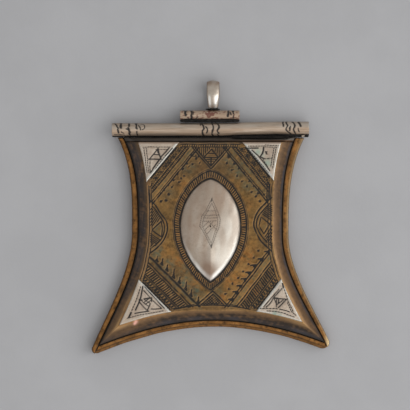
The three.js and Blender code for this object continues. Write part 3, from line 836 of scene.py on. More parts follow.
# Each surface has a base and layers over it: a mask, its colour, and its roughness and metallic where they
# change. A mask is the name of a mark, or a noise as its size in millimetres, seed, start, end and strength.
# A bump is a depth in millimetres and the size and seed of its noise, then start, end, strength and detail.
SURFACES = {
    "engraved_brass": dict(
        base=(148, 114, 70), roughness=0.44, bumps=((0.02, 0.5, 4), (0.05, 3, 5)),
        layers=(
            ((9, 1), (126, 99, 62), 0.5), ((2.2, 3, 0.5, 0.8), (100, 80, 54), 0.55),
            ("warm", (164, 108, 56), 0.45), ((4, 2, 0.5, 0.66, 0.5), (160, 116, 62), 0.42),
            ((3, 7, 0.52, 0.66, 0.55), (86, 66, 44), 0.55), ("stain", (96, 108, 92), 0.6),
            ((0.9, 6, 0.42, 0.75, 0.5), (84, 68, 48), 0.6), ("shade", (118, 88, 58), 0.45, 0.5),
            ("dark", (54, 43, 34), 0.5, 0.5), ((1.4, 8, 0.45, 0.75, 0.5), (66, 52, 38), 0.6),
            ((0.7, 9, 0.55, 0.8, 0.35), (150, 112, 72), 0.45), ("cool_reflection", (78, 78, 86), 0.4),
            ("wear", (176, 138, 92), 0.36), ("glint", (226, 170, 152), 0.4),
            ("groove", (28, 24, 20), 0.8, 0.15),
        ),
    ),
    "rim_brass": dict(
        base=(126, 88, 50), roughness=0.5, bumps=((0.03, 0.6, 4.5), (0.08, 2.4, 5.5)),
        layers=(
            ((7, 1.5), (106, 76, 46), 0.55), ("wear", (160, 114, 64), 0.42),
            ((1.3, 2.5, 0.46, 0.72, 0.8), (74, 56, 38), 0.6), ("shine", (206, 182, 140), 0.3),
            ("groove", (44, 35, 26), 0.75, 0.3),
        ),
    ),
    "silver": dict(SILVER, layers=silver_layers((140, 117, 99))),
    "drawn_silver": dict(
        SILVER, stretch=(0.06, 1, 1),
        layers=silver_layers(
            (170, 146, 123), ((0.5, 16, 0.48, 0.7, 0.45), (112, 92, 76), 0.5),
            ((0.45, 17, 0.5, 0.72, 0.45), (212, 198, 180), 0.34),
        ),
    ),
    "dark_patina": dict(
        base=(74, 68, 63), roughness=0.5, metallic=0.5, bumps=((0.04, 1.2, 22),),
        layers=(
            ((4, 21), (58, 52, 47), 0.55), ("wear", (120, 113, 105), 0.42), ("warm", (98, 70, 46), 0.5),
            ("groove", (20, 18, 16), 0.8, 0.2),
        ),
    ),
    "black_strip": dict(
        base=(34, 30, 27), roughness=0.6, metallic=0.6, bumps=((0.05, 0.8, 32),),
        layers=(((2, 31), (18, 16, 15), 0.75),),
    ),
    "rag_paper": dict(
        base=(206, 192, 158), roughness=0.9, metallic=0.0, bumps=((0.04, 0.3, 43),),
        layers=(((6, 41), (188, 168, 128)), ((1.2, 42, 0.55, 0.8), (160, 136, 98))),
    ),
    "goat_leather": dict(
        base=(112, 70, 44), roughness=0.7, metallic=0.0, bumps=((0.08, 0.35, 46, 0.2, 0.8, 1.0, 6.0),),
        layers=(((4, 44), (84, 50, 32), 0.8), ((0.9, 45, 0.5, 0.8), (134, 88, 58))),
    ),
    "cotton_thread": dict(
        base=(150, 128, 92), roughness=0.9, metallic=0.0, stretch=(1, 4, 1),
        layers=(((0.4, 47), (118, 98, 70)),), bumps=((0.05, 0.2, 48, 0.2, 0.8),),
    ),
    "grey_card": dict(
        base=(173, 173, 175), roughness=0.9, metallic=0.0, bumps=((0.03, 1, 52),),
        layers=(((30, 51), (169, 169, 171)),),
    ),
}


def make_material(name, base, roughness, layers, bumps, metallic=1.0, stretch=(1, 1, 1)):
    surface = Surface(name, base, roughness, metallic, stretch)
    for mask, over, *finish in layers:
        shown = surface.mark(mask) if isinstance(mask, str) else surface.noise(*mask)
        surface.layer(shown, colour(*over), *finish)
    for depth, size, seed, *spread in bumps:
        surface.bump(surface.noise(size, seed, *(spread or (0.0, 1.0))), depth)
    return surface.done()


MATERIALS = {name: make_material(name, **look) for name, look in SURFACES.items()}


# Front cover
def field_between(left, right, foot, head, u, v):
    """A grid of values that fills the field between four edges."""
    u, v = u[None], v[:, None]
    lower = (1 - u) * (1 - v) * foot[0] + u * (1 - v) * foot[-1]
    corners = lower + (1 - u) * v * head[0] + u * v * head[-1]
    return (1 - u) * left[:, None] + u * right[:, None] + (1 - v) * foot[None] + v * head[None] - corners


def cover_grids():
    """The face and its three walls, down to the back plate."""
    low, high = box_mm("front_shell")
    u = np.linspace(0, 1, int((high[0] - low[0]) * 0.75 / FACE_PITCH))
    v = np.linspace(0, 1, int((high[1] - low[1]) * 0.9 / FACE_PITCH))
    t = np.linspace(0, 1, WALL_ROWS)[:, None]
    ends = [np.array([wall_corner(side, share) for share in t[:, 0]]) for side in (LEFT, RIGHT)]
    walls = []
    for side, corners in zip((LEFT, RIGHT), ends):
        ys = lerp(corners[:, 1:], CROWN_Y, v[None])
        walls.append((wall_x(side, ys, t), ys, side is LEFT))
    xs = lerp(ends[0][:, :1], ends[1][:, :1], u[None])
    walls.append((xs, wall_y(xs, t), False))
    (left_x, left_y), (right_x, right_y), (foot_x, foot_y) = ((xs[-1], ys[-1]) for xs, ys, _ in walls)
    x = field_between(left_x, right_x, foot_x, lerp(left_x[-1], right_x[-1], u), u, v)
    y = field_between(left_y, right_y, foot_y, np.full(len(u), CROWN_Y), u, v)
    work = Patchwork()
    work.add(x, y, FACE_Z, share=1.0)
    for xs, ys, flip in walls:
        work.add(xs, ys, wall_z(t), flip=flip, share=t)
        work.add(xs[:1], ys[:1], np.array([[PLATE_TOP], [KNEE_Z]]), flip=flip, share=0.0)
    return work


def from_boss(x, y):
    """Distance and angle of points from the middle of the boss."""
    return np.hypot(x - BOSS_X, y - BOSS_Y), np.arctan2(y - BOSS_Y, x - BOSS_X) % (2 * np.pi)


def under_parts(points):
    """Points of the face that the boss or a corner plate covers."""
    x, y, z = points.T
    size = [0.93 * length for length in BOSS_SIZE]
    ring_reach, ring_angle = from_boss(*almond(size, np.linspace(0, 2 * np.pi, 400)))
    order = np.argsort(ring_angle)
    reach, angle = from_boss(x, y)
    covered = reach < np.interp(angle, ring_angle[order], ring_reach[order])
    inner = (np.minimum.reduce(face_edge_gap(x, y)) > 0.5) & (y < CROWN_Y - 0.5)
    for name in PLATES:
        beside = Along(name)
        over = (points[:, :2] - beside.a) @ beside.out < -0.5
        corner_side = np.sign(beside.a[0]) * x > 0
        covered |= over & inner & corner_side & (np.sign(y) == np.sign(beside.a[1]))
    return covered & (z > FACE_Z - 0.01)


def front_cover():
    points, quads, marks = cover_grids().joined(under_parts)
    x, y, z = points.T
    share = marks["share"]
    on_face = z > FACE_Z - 0.01
    art = engrave_face()
    wx, wy = waver(x, y, 0.04, 5, 1)
    cut = np.where(on_face, art.read(wx, wy), 0.0) * (0.86 + 0.2 * waves(x, y, 2.0, 3)).clip(0.35, 1.1)
    gaps = face_edge_gap(x, y)
    inner = smoothstep(0, 1.2, np.where(on_face, np.minimum.reduce(gaps), 0.0))
    swell = (0.05 * waves(x, y, 22, 4) + 0.02 * waves(x, y, 7, 5)) * inner
    z = z + np.where(on_face, swell, 0.04 * waves(x, y, 9, 6) * np.sin(np.pi * share)) - FACE_CUT * cut
    marks = cover_marks(x, y, share, on_face, cut, *gaps)
    # Light edges beside the engraved lines: painted highlights
    groove_edge_highlight = np.maximum(art.read(wx + 0.26, wy - 0.26), art.read(wx - 0.26, wy + 0.26)) - 1.6 * cut
    marks["wear"] = np.maximum(marks["wear"], np.where(on_face, 0.4 * np.clip(groove_edge_highlight, 0, 1), 0.0))
    points = np.stack([x, y, z], 1)
    make_piece("engraved_cover", points, quads, "engraved_brass", "box", "front_shell", marks)


def cover_marks(x, y, share, on_face, cut, left, right, hem):
    """Where the cover is engraved, dark, rubbed lighter, green or warm, with painted shade, painted
    highlights and a painted blue-grey reflection on its walls.
    """
    dark_tone, green_tone, warm_tone = face_tones()
    face, wall = np.where(on_face, 1.0, 0.0), np.where(on_face, 0.0, 1.0)
    edge = np.minimum(np.minimum(left, right), hem)

    # Which wall a point is on, and the lower ends of the side walls
    by_left = smoothstep(0.4, -0.4, left - np.minimum(right, hem))
    by_hem = smoothstep(0.4, -0.4, hem - np.minimum(left, right)) * (1 - by_left)
    by_right = 1 - by_left - by_hem
    hip = smoothstep(-17, -27, y) * (1 - by_hem)
    crease = hump(np.minimum(left, right) - hem, 0.7) * smoothstep(0.15, 0.5, share) * wall

    # Uneven wear: patches, mottling and streaks across and along the walls
    patches = squash(1.4 * waves(x, y, 7, 7))
    mottle = 0.6 * waves(x, y, 2.4, 10) + 0.5 * waves(x, y, 1.1, 12)
    streaks = squash(1.5 * waves(x * 0.4, y * 0.4, 4, 8) + 1.3 * waves(share * 4, share, 2, 11))
    along = squash(2.2 * waves(share * 14, y * 0.22 + x * 0.1, 1.8, 13))

    # How dark each wall is, as patina and as painted shade that darkens the left wall most, where it is
    # rubbed or painted lighter, and where a blue-grey reflection is painted
    patina_and_shade = (
        by_left * smoothstep(1.6, 0.7, share) * (1.25 - 0.75 * hip) * (0.8 + 0.2 * smoothstep(-8, 4, y))
        + by_hem * smoothstep(0.95, 0.35, share) * 1.2 * (1 - 0.35 * smoothstep(-20, -30, x))
        + by_right * (smoothstep(0.7, 0.1, share) * 0.6 + 0.35 * smoothstep(2, 16, y))
    ) * (1 - 0.45 * by_hem * smoothstep(-12, -24, x))
    # Rubbed metal, and painted light that makes the lower right wall lighter
    rubbed_and_lit = (
        by_left * (0.5 * hip + 0.12) * smoothstep(0.4, 0.95, share)
        + by_hem * (0.15 + 0.5 * smoothstep(20, 34, np.abs(x))) * smoothstep(0.5, 1.0, share)
        + by_right * (0.1 + 0.3 * smoothstep(6, -8, y)) * smoothstep(0.6, 0.95, share)
    )
    # A painted blue-grey reflection low on the walls
    cool_reflection = (
        0.45 * by_right * smoothstep(0.3, 0.15, share)
        + 0.4 * by_hem * smoothstep(0.5, 0.2, share) * (1 - 0.5 * smoothstep(-12, -24, x))
        + 0.25 * by_left * smoothstep(0.6, 0.3, np.abs(share - 0.35)) * (1 - 0.8 * hip)
    )

    # Lines and bands close to the edges of the face and the foot of the walls
    near_edge = np.where(on_face, smoothstep(2.2, 0.2, edge), 0.0)
    rim_line = smoothstep(0.3, 0.0, np.abs(np.where(on_face, edge, (1 - share) * 2.4))) * (1 - by_left)
    foot_line = smoothstep(0.09 + 0.08 * by_left, 0.02 + 0.05 * by_left, share)
    crown_dark = 0.7 * smoothstep(CROWN_Y - 0.9, CROWN_Y - 0.2, y)

    dark_wall = patina_and_shade * (0.5 + 0.45 * streaks + 0.25 * mottle + 0.35 * along) * (1 - 0.7 * crease)
    wall_wear_and_sheen = rubbed_and_lit * (0.3 + 0.8 * streaks + 0.5 * along) + 0.12 * by_left * along * (1 - patina_and_shade)
    worn_edge = 0.3 * rim_line * patches + 0.45 * crease * (0.4 + 0.6 * patches)
    warm_hem = 0.8 * by_hem * wall * smoothstep(-8, -22, x) * smoothstep(0.35, 0.7, share)
    warm_face = face * warm_tone.read(x, y) * (0.45 - 0.35 * mottle)
    marks = {
        "groove": np.maximum(1.95 * cut, foot_line),
        "shade": np.maximum(wall * smoothstep(1.0, 0.85, share), near_edge * (0.25 + 0.6 * by_left)),
        "dark": wall * dark_wall + face * (dark_tone.read(x, y) * 0.8 + crown_dark),
        "wear": (wall * wall_wear_and_sheen + worn_edge) * (cut < 0.3),
        "cool_reflection": wall * cool_reflection * (0.4 + 0.8 * patches),
        "stain": face * green_tone.read(x, y) * (0.65 + 0.4 * mottle),
        "warm": warm_face + wall * hip * (0.4 + 0.6 * by_left) + warm_hem,
    }
    marks = {name: np.clip(value, 0, 1) for name, value in marks.items()}
    return {**marks, "glint": sum(spot(x, y, *glint) for glint in GLINTS)}


# Corner plates
def edge_points(edge, shares):
    """Points at these shares of a plate edge's steps."""
    steps = shares * (EDGE_STEPS - 1)
    return np.stack([np.interp(steps, np.arange(EDGE_STEPS), edge[:, k]) for k in (0, 1)], -1)


def corner_plate(name):
    one, two = PLATES[name]
    ends = np.linspace(0, 1, 64) * 0.985
    across = np.linspace(0, 1, 112)[None, :, None]
    flat = edge_points(one, ends)[:, None] * (1 - across) + edge_points(two, ends)[:, None] * across
    x, y = flat[..., 0], flat[..., 1]
    to_long = away_from(x, y, densify([two[0], one[0]], EDGE_PITCH))
    gap = np.minimum(away_from(x, y, densify([*one, *two[::-1]], EDGE_PITCH)), to_long)
    cut = engrave_plate(name).read(*waver(x, y, 0.03, 4, 21))
    z = PLATE_Z - rounded_drop(gap, 0.34) - PLATE_CUT * cut + 0.02 * waves(x, y, 5, 23)
    side_wear = 0.25 if name.endswith("left") else 0.7
    wear = np.maximum(smoothstep(0.95, 0.6, to_long), side_wear * smoothstep(0.8, 0.4, gap))
    stain = np.maximum.reduce([power * spot(x, y, *place) for *place, power in PLATE_STAINS])
    dulled = 0.35 * squash(1.5 * waves(x, y, 5, 24)) * smoothstep(0.8, 1.6, gap)
    tarnish = np.maximum(dulled, 0.9 * smoothstep(CROWN_Y - 0.8, CROWN_Y - 0.3, y))
    work = Patchwork()
    flip = name in ("top_left", "bottom_right")
    work.add(x, y, z, flip=flip, groove=np.clip(1.5 * cut, 0, 1), wear=wear, stain=stain, tarnish=tarnish)
    for pick, turn in ((np.s_[:, 0], flip), (np.s_[:, -1], not flip), (0, not flip), (-1, flip)):
        work.skirt(x[pick], y[pick], z[pick], FACE_Z - 0.15, flip=turn, groove=np.array([[0.2], [1.0]]))
    points, quads, marks = work.joined()
    make_piece(f"silver_plate_{name}", points, quads, "silver", "box", f"corner_plate_{name}", marks)


# Green crust on the plates: x, y, size and strength
PLATE_STAINS = (
    (15.5, 25.6, 0.8, 0.9), (18.6, 22, 0.9, 0.9), (17, 24.6, 0.6, 0.5), (21.05, -27.4, 0.6, 1),
    (22.6, -27.9, 0.6, 0.6),
)

# Strokes inside each corner plate: half width, length of a dash or 0, then points
PLATE_STROKES = {
    "top_left": (
        (0.34, 0, (-13.7, 27), (-16.2, 24.2), (-19, 20.3)), (0.34, 0, (-12.6, 27), (-15, 24.4)),
        (0.3, 0.8, (-15, 24.4), (-18.2, 20.1)), (0.34, 0, (-20.3, 23.2), (-17.3, 26.8)),
        (0.4, 0, (-17.3, 26.9), (-17, 25.2), (-16.4, 23.5)), (0.36, 0, (-20.4, 23.3), (-16.4, 23.3)),
        (0.5, 0, (-17.4, 26.5), (-17.2, 25.5)), (0.3, 0, (-18.6, 24.9), (-17, 24.7)),
        (0.34, 0, (-16.8, 23.1), (-19.8, 18.9)), (0.3, 1.2, (-20, 23.3), (-20, 18.7)),
        (0.28, 0.8, (-21.2, 26.8), (-20.8, 23), (-20.5, 19)),
        (0.28, 0.8, (-22, 26.9), (-21.5, 23), (-21, 19)), (0.24, 0.9, (-22.3, 27.3), (-13.4, 27.3)),
        (0.22, 0.9, (-18, 26.5), (-14.4, 26.5)), (0.24, 0.8, (-20.4, 19), (-19.2, 19.6)),
    ),
    "top_right": (
        (0.26, 0.9, (12.3, 27.6), (17.6, 27.6)), (0.38, 0, (12.2, 26.95), (15.5, 26.95)),
        (0.26, 0.9, (17.9, 27.9), (22.2, 27.8)), (0.24, 0.8, (17.9, 27.3), (21.8, 27.3)),
        (0.32, 0, (13.5, 26.3), (15.3, 24.7), (17.6, 22), (19.4, 19.6)),
        (0.26, 0.9, (12.6, 26.4), (14.8, 23.8), (18.9, 18.9)),
        (0.3, 0.8, (21.5, 27.1), (21, 24.5), (20.3, 20.3)),
        (0.3, 0.8, (20.8, 26.9), (20.2, 23.6), (19.7, 20.9)),
        (0.5, 0, (17.35, 27.1), (17.25, 26.2), (16.85, 25.1)),
        (0.4, 0, (16.85, 25.1), (16.2, 24.1), (17.4, 23.5)), (0.34, 0, (17.9, 25.8), (18.4, 25)),
        (0.3, 0, (18.4, 25.8), (18.1, 25.2)), (0.34, 1.3, (17.6, 23.5), (20.2, 23.6)),
        (0.28, 0.9, (17.2, 23.1), (18.6, 21)),
    ),
    "bottom_left": (
        (0.3, 1, (-23.05, -18.7), (-24.4, -22.6), (-25.9, -26.4)),
        (0.42, 0, (-22.3, -18.5), (-23, -21.9), (-23.8, -24.2), (-24.7, -26.2)),
        (0.32, 0, (-21.7, -18.6), (-18.6, -22.1), (-15.3, -25.7)), (0.3, 0, (-22, -19.9), (-20.2, -21.8)),
        (0.3, 0, (-18.9, -23.2), (-16.3, -25.6)), (0.3, 1.1, (-20.2, -21.8), (-18.9, -23.2)),
        (0.3, 0, (-19.6, -25.9), (-16.2, -25.8)),
        (0.34, 0, (-24.9, -27.3), (-22.4, -26.9), (-20.4, -26.6)),
        (0.26, 0.9, (-27.4, -28.9), (-23, -27.8), (-15.6, -26.5)),
        (0.5, 0, (-26.9, -28.6), (-26.2, -27.1)),
        (0.44, 0, (-21.9, -22.6), (-19.5, -22.2), (-19.4, -23.3)), (0.5, 0, (-23.5, -22.9), (-22.7, -23)),
        (0.26, 0, (-21.7, -22.9), (-20, -24)), (0.26, 0, (-21.9, -23.6), (-20.3, -22.5)),
        (0.26, 0, (-21.3, -24.2), (-19.6, -23)),
        (0.34, 0, (-23.4, -23.8), (-20.8, -26.4), (-19.9, -24.2)),
        (0.28, 0, (-22.6, -23.4), (-20.6, -24.9)),
    ),
    "bottom_right": (
        (0.32, 0, (22.3, -19.4), (19.8, -22.4), (17.4, -25.2)),
        (0.32, 0, (23.4, -19.1), (20.9, -21.9), (19.5, -24), (18.2, -25.3)),
        (0.46, 0, (23.6, -17.5), (23.9, -18.8)), (0.3, 1, (24, -18.8), (25.4, -23.4), (27, -26.6)),
        (0.3, 0.8, (25.2, -23.9), (26.3, -26.4), (27.9, -28)), (0.44, 0, (20.7, -22.3), (22.1, -22.4)),
        (0.3, 0, (22.1, -22.4), (24.8, -22.7)), (0.32, 0, (21.6, -22.8), (21.5, -25.2)),
        (0.36, 0, (22.3, -22.8), (22.2, -23.8)), (0.36, 0, (24.8, -22.8), (22.2, -25.4)),
        (0.32, 0, (23.8, -22.9), (21.7, -24.5)), (0.28, 0, (20.8, -22.4), (21.4, -23.9)),
        (0.3, 1.1, (16.2, -25.7), (21.8, -25.8)), (0.28, 0, (22.6, -25.9), (25.8, -26.8)),
        (0.28, 1, (18.4, -26.5), (21.6, -26.7), (24.2, -27.4), (27.4, -28.6)),
    ),
}


def engrave_plate(name):
    low, high = box_mm(f"corner_plate_{name}")
    art = Engraving(low[:2] - 1, high[:2] + 1)
    for width, dash, *points in PLATE_STROKES[name]:
        art.line(points, width=width, dash=dash)
    return art


# Boss
BOSS_STROKES = (
    ((0.4, 10.3), (-1.9, 6), (-2.9, 4.6), (-3.6, 1.4), (-1.8, -1.8), (0.1, -5.6)),
    ((0.4, 10.3), (2.3, 6), (3.1, 3.6), (2.6, 0.6), (0.1, -5.6)),
    ((0.4, 8.8), (-1.3, 5.9), (-2.2, 4.2), (-2.9, 1.5), (-1.3, -1.7), (0.1, -4.2)),
    ((0.4, 8.8), (1.6, 5.9), (2.4, 3.6), (2, 0.6), (0.1, -4.2)),
    ((-2.4, 4.9), (2.7, 4.9)), ((-2.3, 4.1), (2.4, 4)), ((-1.2, 6.3), (1.8, 6.3)), ((-2.6, 2.9), (1.9, 3.1)),
    ((-2.4, 1.2), (-0.9, 2.6)), ((-1.9, 0.1), (0.6, 2.7)), ((-1.3, -1.2), (1.6, 1.8)),
    ((-0.8, 2.8), (1.9, 0.2)),
)


def boss():
    art = Engraving((-11, -18), (11, 18))
    for points in BOSS_STROKES:
        art.line(points, width=0.24, depth=0.85, dash=0.62)
    art.tick(0.3, 9.9, 75, 1.3, 0.36)
    art.tick(0.1, -5.3, 90, 1.1, 0.36)
    angle = np.linspace(0, 2 * np.pi, 440)
    reach = np.sin(np.linspace(0, np.pi / 2, 74))[::-1][:, None]
    ring_x, ring_y = almond(BOSS_SIZE, angle)
    x = BOSS_X + (ring_x - BOSS_X)[None] * reach
    y = BOSS_Y + (ring_y - BOSS_Y)[None] * reach
    height = (1 - reach**2.2) ** 0.55
    keel = smoothstep(1.3, 0.0, np.abs(x - 0.15)) * smoothstep(-2.0, -9.0, y) * (1 - reach**4)
    cut = art.read(*waver(x, y, 0.05, 4, 31))
    dent = 0.03 * waves(x, y, 9, 33) + 0.008 * waves(x, y, 3, 34)
    z = FACE_Z + BOSS_RISE * (height - 0.012) - BOSS_CUT * cut + (dent - 0.02) * (1 - reach**6) + 0.05 * keel

    # The dome is dull on its upper left and down its keel, as painted shade mixed with dulling, and has
    # painted highlights over its lower right and along its lower rim
    smudge = squash(1.2 * waves(x, y * 0.5, 4, 35))
    lower = smoothstep(-2, -9, y)
    tarnish = (
        0.34 * smoothstep(-8, 10, y - x) + 0.3 * (1 - smudge) * smoothstep(-8, -3, y)
        + hump(x, 2.6) * smoothstep(-8.5, -13.5, y) + 0.6 * hump(x + 2.0, 1.9) * (x < 0.2) * lower
    )
    groove = np.maximum(np.clip(1.1 * cut, 0, 0.85), 0.85 * smoothstep(0.975, 1.0, reach))
    wear = np.clip(0.2 * smudge + 0.6 * smoothstep(-2, 9, x - 0.4 * y), 0, 1)
    shine = 0.9 * smoothstep(0.86, 0.96, reach) * lower * (0.4 + 0.6 * smudge)
    work = Patchwork()
    work.add(x, y, z, groove=groove, wear=wear, shine=shine, tarnish=np.clip(tarnish, 0, 1))
    work.skirt(x[0], y[0], z[0], FACE_Z - 0.3, flip=True, groove=1.0)
    points, quads, marks = work.joined()
    make_piece("silver_boss", points, quads, "silver", "box", "boss_dome", marks)


# Outlines and sections that the rims, the plate and the cap share
OUTLINE_STEPS, RIM_STEPS, TIP_SPAN, TIP_STEPS = 420, 420, 16, 24
SKIN_WALL_ROWS, SKIN_ACROSS = 14, 60


def with_round_tip(points, corner, radius):
    """The outline with an arc in place of its corner."""
    i = int(np.argmin(np.hypot(*(points - corner).T)))
    before, after = points[i - TIP_SPAN] - points[i], points[i + TIP_SPAN] - points[i]
    before, after = before / np.hypot(*before), after / np.hypot(*after)
    half = math.acos(np.clip(before @ after, -1, 1)) / 2
    middle = (before + after) / np.hypot(*(before + after))
    centre = corner + middle * radius / math.sin(half)
    reach = radius / math.tan(half)
    start = corner + before * reach - centre
    turns = np.linspace(0, math.pi - 2 * half, TIP_STEPS)
    arc = np.stack([
        centre[0] + start[0] * np.cos(turns) - start[1] * np.sin(turns),
        centre[1] + start[0] * np.sin(turns) + start[1] * np.cos(turns),
    ], 1)
    near = np.hypot(*(points - corner).T) < reach + 0.05
    first, last = np.flatnonzero(near)[[0, -1]]
    return np.concatenate([points[:first], arc, points[last + 1:]])


def plate_outline():
    """The outline of the back plate from its upper left corner down and round, with round tips."""
    corners = [corner_of(side, lambda y: 0.0, lambda x: 0.0) for side in (LEFT, RIGHT)]
    (ax, ay), (bx, by) = corners
    left_y, right_y = np.linspace(TOP_Y, ay, OUTLINE_STEPS), np.linspace(by, TOP_Y, OUTLINE_STEPS)
    hem_x = np.linspace(ax, bx, 2 * OUTLINE_STEPS)
    points = np.concatenate([
        np.stack([side_x(LEFT, left_y, 0.0), left_y], 1),
        np.stack([hem_x, hem_y(hem_x, 0.0)], 1)[1:-1],
        np.stack([side_x(RIGHT, right_y, 0.0), right_y], 1),
    ])
    for side, corner in zip((LEFT, RIGHT), corners):
        points = with_round_tip(points, np.array(corner), side["tip"])
    return points


def resample(points, shares):
    """Points at these shares of a path's length."""
    run = np.concatenate([[0], np.cumsum(np.hypot(*np.diff(points, axis=0).T))])
    return np.stack([np.interp(shares * run[-1], run, points[:, k]) for k in (0, 1)], 1)


def moved_in(points, depth):
    """A closed anticlockwise outline, moved in by depth."""
    way = np.roll(points, -1, 0) - np.roll(points, 1, 0)
    way /= np.hypot(*way.T)[:, None]
    return points + np.reshape(depth, (-1, 1)) * np.stack([-way[:, 1], way[:, 0]], 1)


class Skin:
    """The cover's surface, moved in by depth, as sections square to Y."""

    def __init__(self, depth, low_z):
        slope = math.atan2(FACE_Z - KNEE_Z, LEFT["wall"][1])
        self.depth, self.low_z = depth, low_z
        self.knee = KNEE_Z - depth * math.tan((math.pi / 2 - slope) / 2)
        self.creep = depth * math.tan(slope / 2)

    def section(self, y):
        """X and Z from the left foot over the top to the right foot."""
        run = CROWN_RUN + self.creep - self.depth
        t = np.linspace(0, np.clip((TOP_Y - self.depth - y) / run, 0, 1), SKIN_WALL_ROWS)
        inset = lerp(self.depth, self.creep, t)
        left, right = (wall_x(side, y, t, inset) for side in (LEFT, RIGHT))
        z = lerp(self.knee, FACE_Z - self.depth, t) + 4 * WALL_BULGE * t * (1 - t)
        over = np.linspace(left[-1], right[-1], SKIN_ACROSS)[1:-1]
        x = np.concatenate([left[:1], left, over, right[::-1], right[:1]])
        z = np.concatenate([[self.low_z], z, np.full(len(over), z[-1]), z[::-1], [self.low_z]])
        return x, z

    def swept(self, ys):
        """X, Y and Z of a section at each of these heights."""
        x, z = (np.stack(rows) for rows in zip(*map(self.section, ys)))
        return x, np.broadcast_to(ys[:, None], x.shape), z


def rounded_drop(gap, radius):
    """How far a rounded edge lies below the flat at this distance from it."""
    return radius - np.sqrt(np.maximum(0, radius**2 - np.maximum(0, radius - gap) ** 2))


def ring_faces(rings, count):
    """Faces of a closed body made of rings of points."""
    faces = [tuple(range(count))[::-1], tuple(range((rings - 1) * count, rings * count))]
    for i in range(rings - 1):
        for j in range(count):
            k = (j + 1) % count
            faces.append((i * count + j, i * count + k, (i + 1) * count + k, (i + 1) * count + j))
    return faces


# Back plate and rims. The plate's edge is given as how far in it lies at each height.
PLATE_EDGE = ((0.4, 0.0), (0.16, 0.04), (0.03, 0.16), (0.0, 0.3), (0.0, 0.55), (0.05, 0.7), (0.2, PLATE_TOP))
STRIP_SHARES = np.array([0, 0.03, 0.08, 0.15, 0.24, 0.36, 0.5, 0.64, 0.76, 0.85, 0.92, 0.97, 1.0])


def back_plate():
    outline = plate_outline()[:-1]
    wave = 0.05 * waves(outline[:, 0], outline[:, 1], 12, 61)
    rings = []
    for depth, z in PLATE_EDGE:
        ring = moved_in(outline, depth + 0.04 + wave * (depth < 0.2) * (wave > 0))
        rings.append(np.column_stack([ring, np.full(len(outline), z)]))
    points, faces = np.concatenate(rings), ring_faces(len(rings), len(outline))
    heights = points[:, 2]
    marks = dict(groove=0.25 * smoothstep(0.72, PLATE_TOP, heights), wear=0.5 * smoothstep(0.2, 0.6, heights))
    make_piece("plate", points, faces, "rim_brass", "box", "back_plate", marks)


def strip(name, outer, inner, seed, edges=(0.5, 0.35), outer_edge_highlight=0.0):
    """A rim strip on edge between two outlines of equal count, with a worn, rounded top."""
    across = STRIP_SHARES[:, None]
    x, y = (outer[:, k] * (1 - across) + inner[:, k] * across for k in (0, 1))
    to_outer, to_inner = (away_from(x, y, densify(edge[::2], 0.15)) for edge in (outer, inner))
    worn = (0.75 + 0.25 * waves(x, y, 9, seed)).clip(0.4, 1.3)
    z = RIM_TOP - rounded_drop(to_outer, edges[0]) * worn - rounded_drop(to_inner, edges[1])
    z = np.clip(z + 0.05 * waves(x, y, 6, seed + 1) - 0.06, PLATE_TOP + 0.3, RIM_TOP)

    # Brushed brass, worn along the ridge, darker beside the wall and at the outer edge as grime and painted
    # shade, with a painted highlight at the right-hand tip and, on the right rim, over its outer part
    place = to_outer / (to_outer + to_inner)
    ridge = smoothstep(0.12, 0.4, place) * smoothstep(0.95, 0.6, place)
    patches = squash(1.6 * waves(x, y, 4, seed + 2))
    brushed = squash(2.0 * waves(to_inner * 5, x * 0.25 + y * 0.25, 2.2, seed + 3))
    tips = smoothstep(37.2, 38.8, x)
    grime_and_shade = 0.9 * smoothstep(0.35, 0.05, to_inner) + 0.5 * smoothstep(0.3, 0.0, to_outer)
    groove = np.clip((grime_and_shade + 0.25 * brushed * (1 - ridge)) * (1 - 0.6 * tips), 0, 1)
    wear = ridge * (0.25 + 0.6 * patches) * (0.5 + 0.5 * brushed)
    shine = np.maximum(tips * 0.8 * patches, outer_edge_highlight * smoothstep(0.42, 0.2, place) * (0.6 + 0.4 * brushed))
    work = Patchwork()
    work.add(x, y, z, wear=wear, groove=groove, shine=shine)
    for pick, shades in (
        (0, (groove[0].mean(), 0.15)), (-1, (groove[-1].mean(), 1.0)),
        (np.s_[:, 0], (0.5, 1.0)), (np.s_[:, -1], (0.5, 1.0)),
    ):
        work.skirt(x[pick], y[pick], z[pick], PLATE_TOP, groove=np.reshape(shades, (2, 1)))
    points, quads, marks = work.joined()
    make_piece(f"rim_strip_{name}", points, quads, "rim_brass", "box", f"rim_{name}", marks, closed=True)


def within(points, outline):
    """Which points lie inside a closed outline."""
    x, y = points[:, 0:1], points[:, 1:2]
    ax, ay = outline.T
    bx, by = np.roll(outline, -1, 0).T
    crossed = (ay > y) != (by > y)
    rise = np.where(by == ay, 1e-9, by - ay)
    return (crossed & (x < ax + (y - ay) / rise * (bx - ax))).sum(1) % 2 == 1


def side_rim(side):
    outline = plate_outline()
    ys = np.linspace(RIM_END_Y, side["corner_y"], 900)
    inner = np.stack([side_x(side, ys, graded(side, side["rim"], ys) + RIM_SWELL), ys], 1)
    inner = inner[within(inner, outline) | (np.arange(len(ys)) < 10)]
    if side is RIGHT:
        outline = outline[::-1]
    outer = outline[:int(np.argmin(np.hypot(*(outline - inner[-1]).T))) + 1]
    outer = outer[outer[:, 1] <= RIM_END_Y] * RIM_TRIM
    curves = (resample(curve, np.linspace(0, 0.998, RIM_STEPS)) for curve in (outer, inner))
    strip(side["name"], *curves, 71 + side["sign"], outer_edge_highlight=0.35 if side is RIGHT else 0.0)


def rim_end(side, level):
    """Where the lower rim ends, inside a side rim."""
    return corner_of(side, lambda y: graded(side, side["rim"], y) + RIM_SWELL + 0.2, lambda x: level)


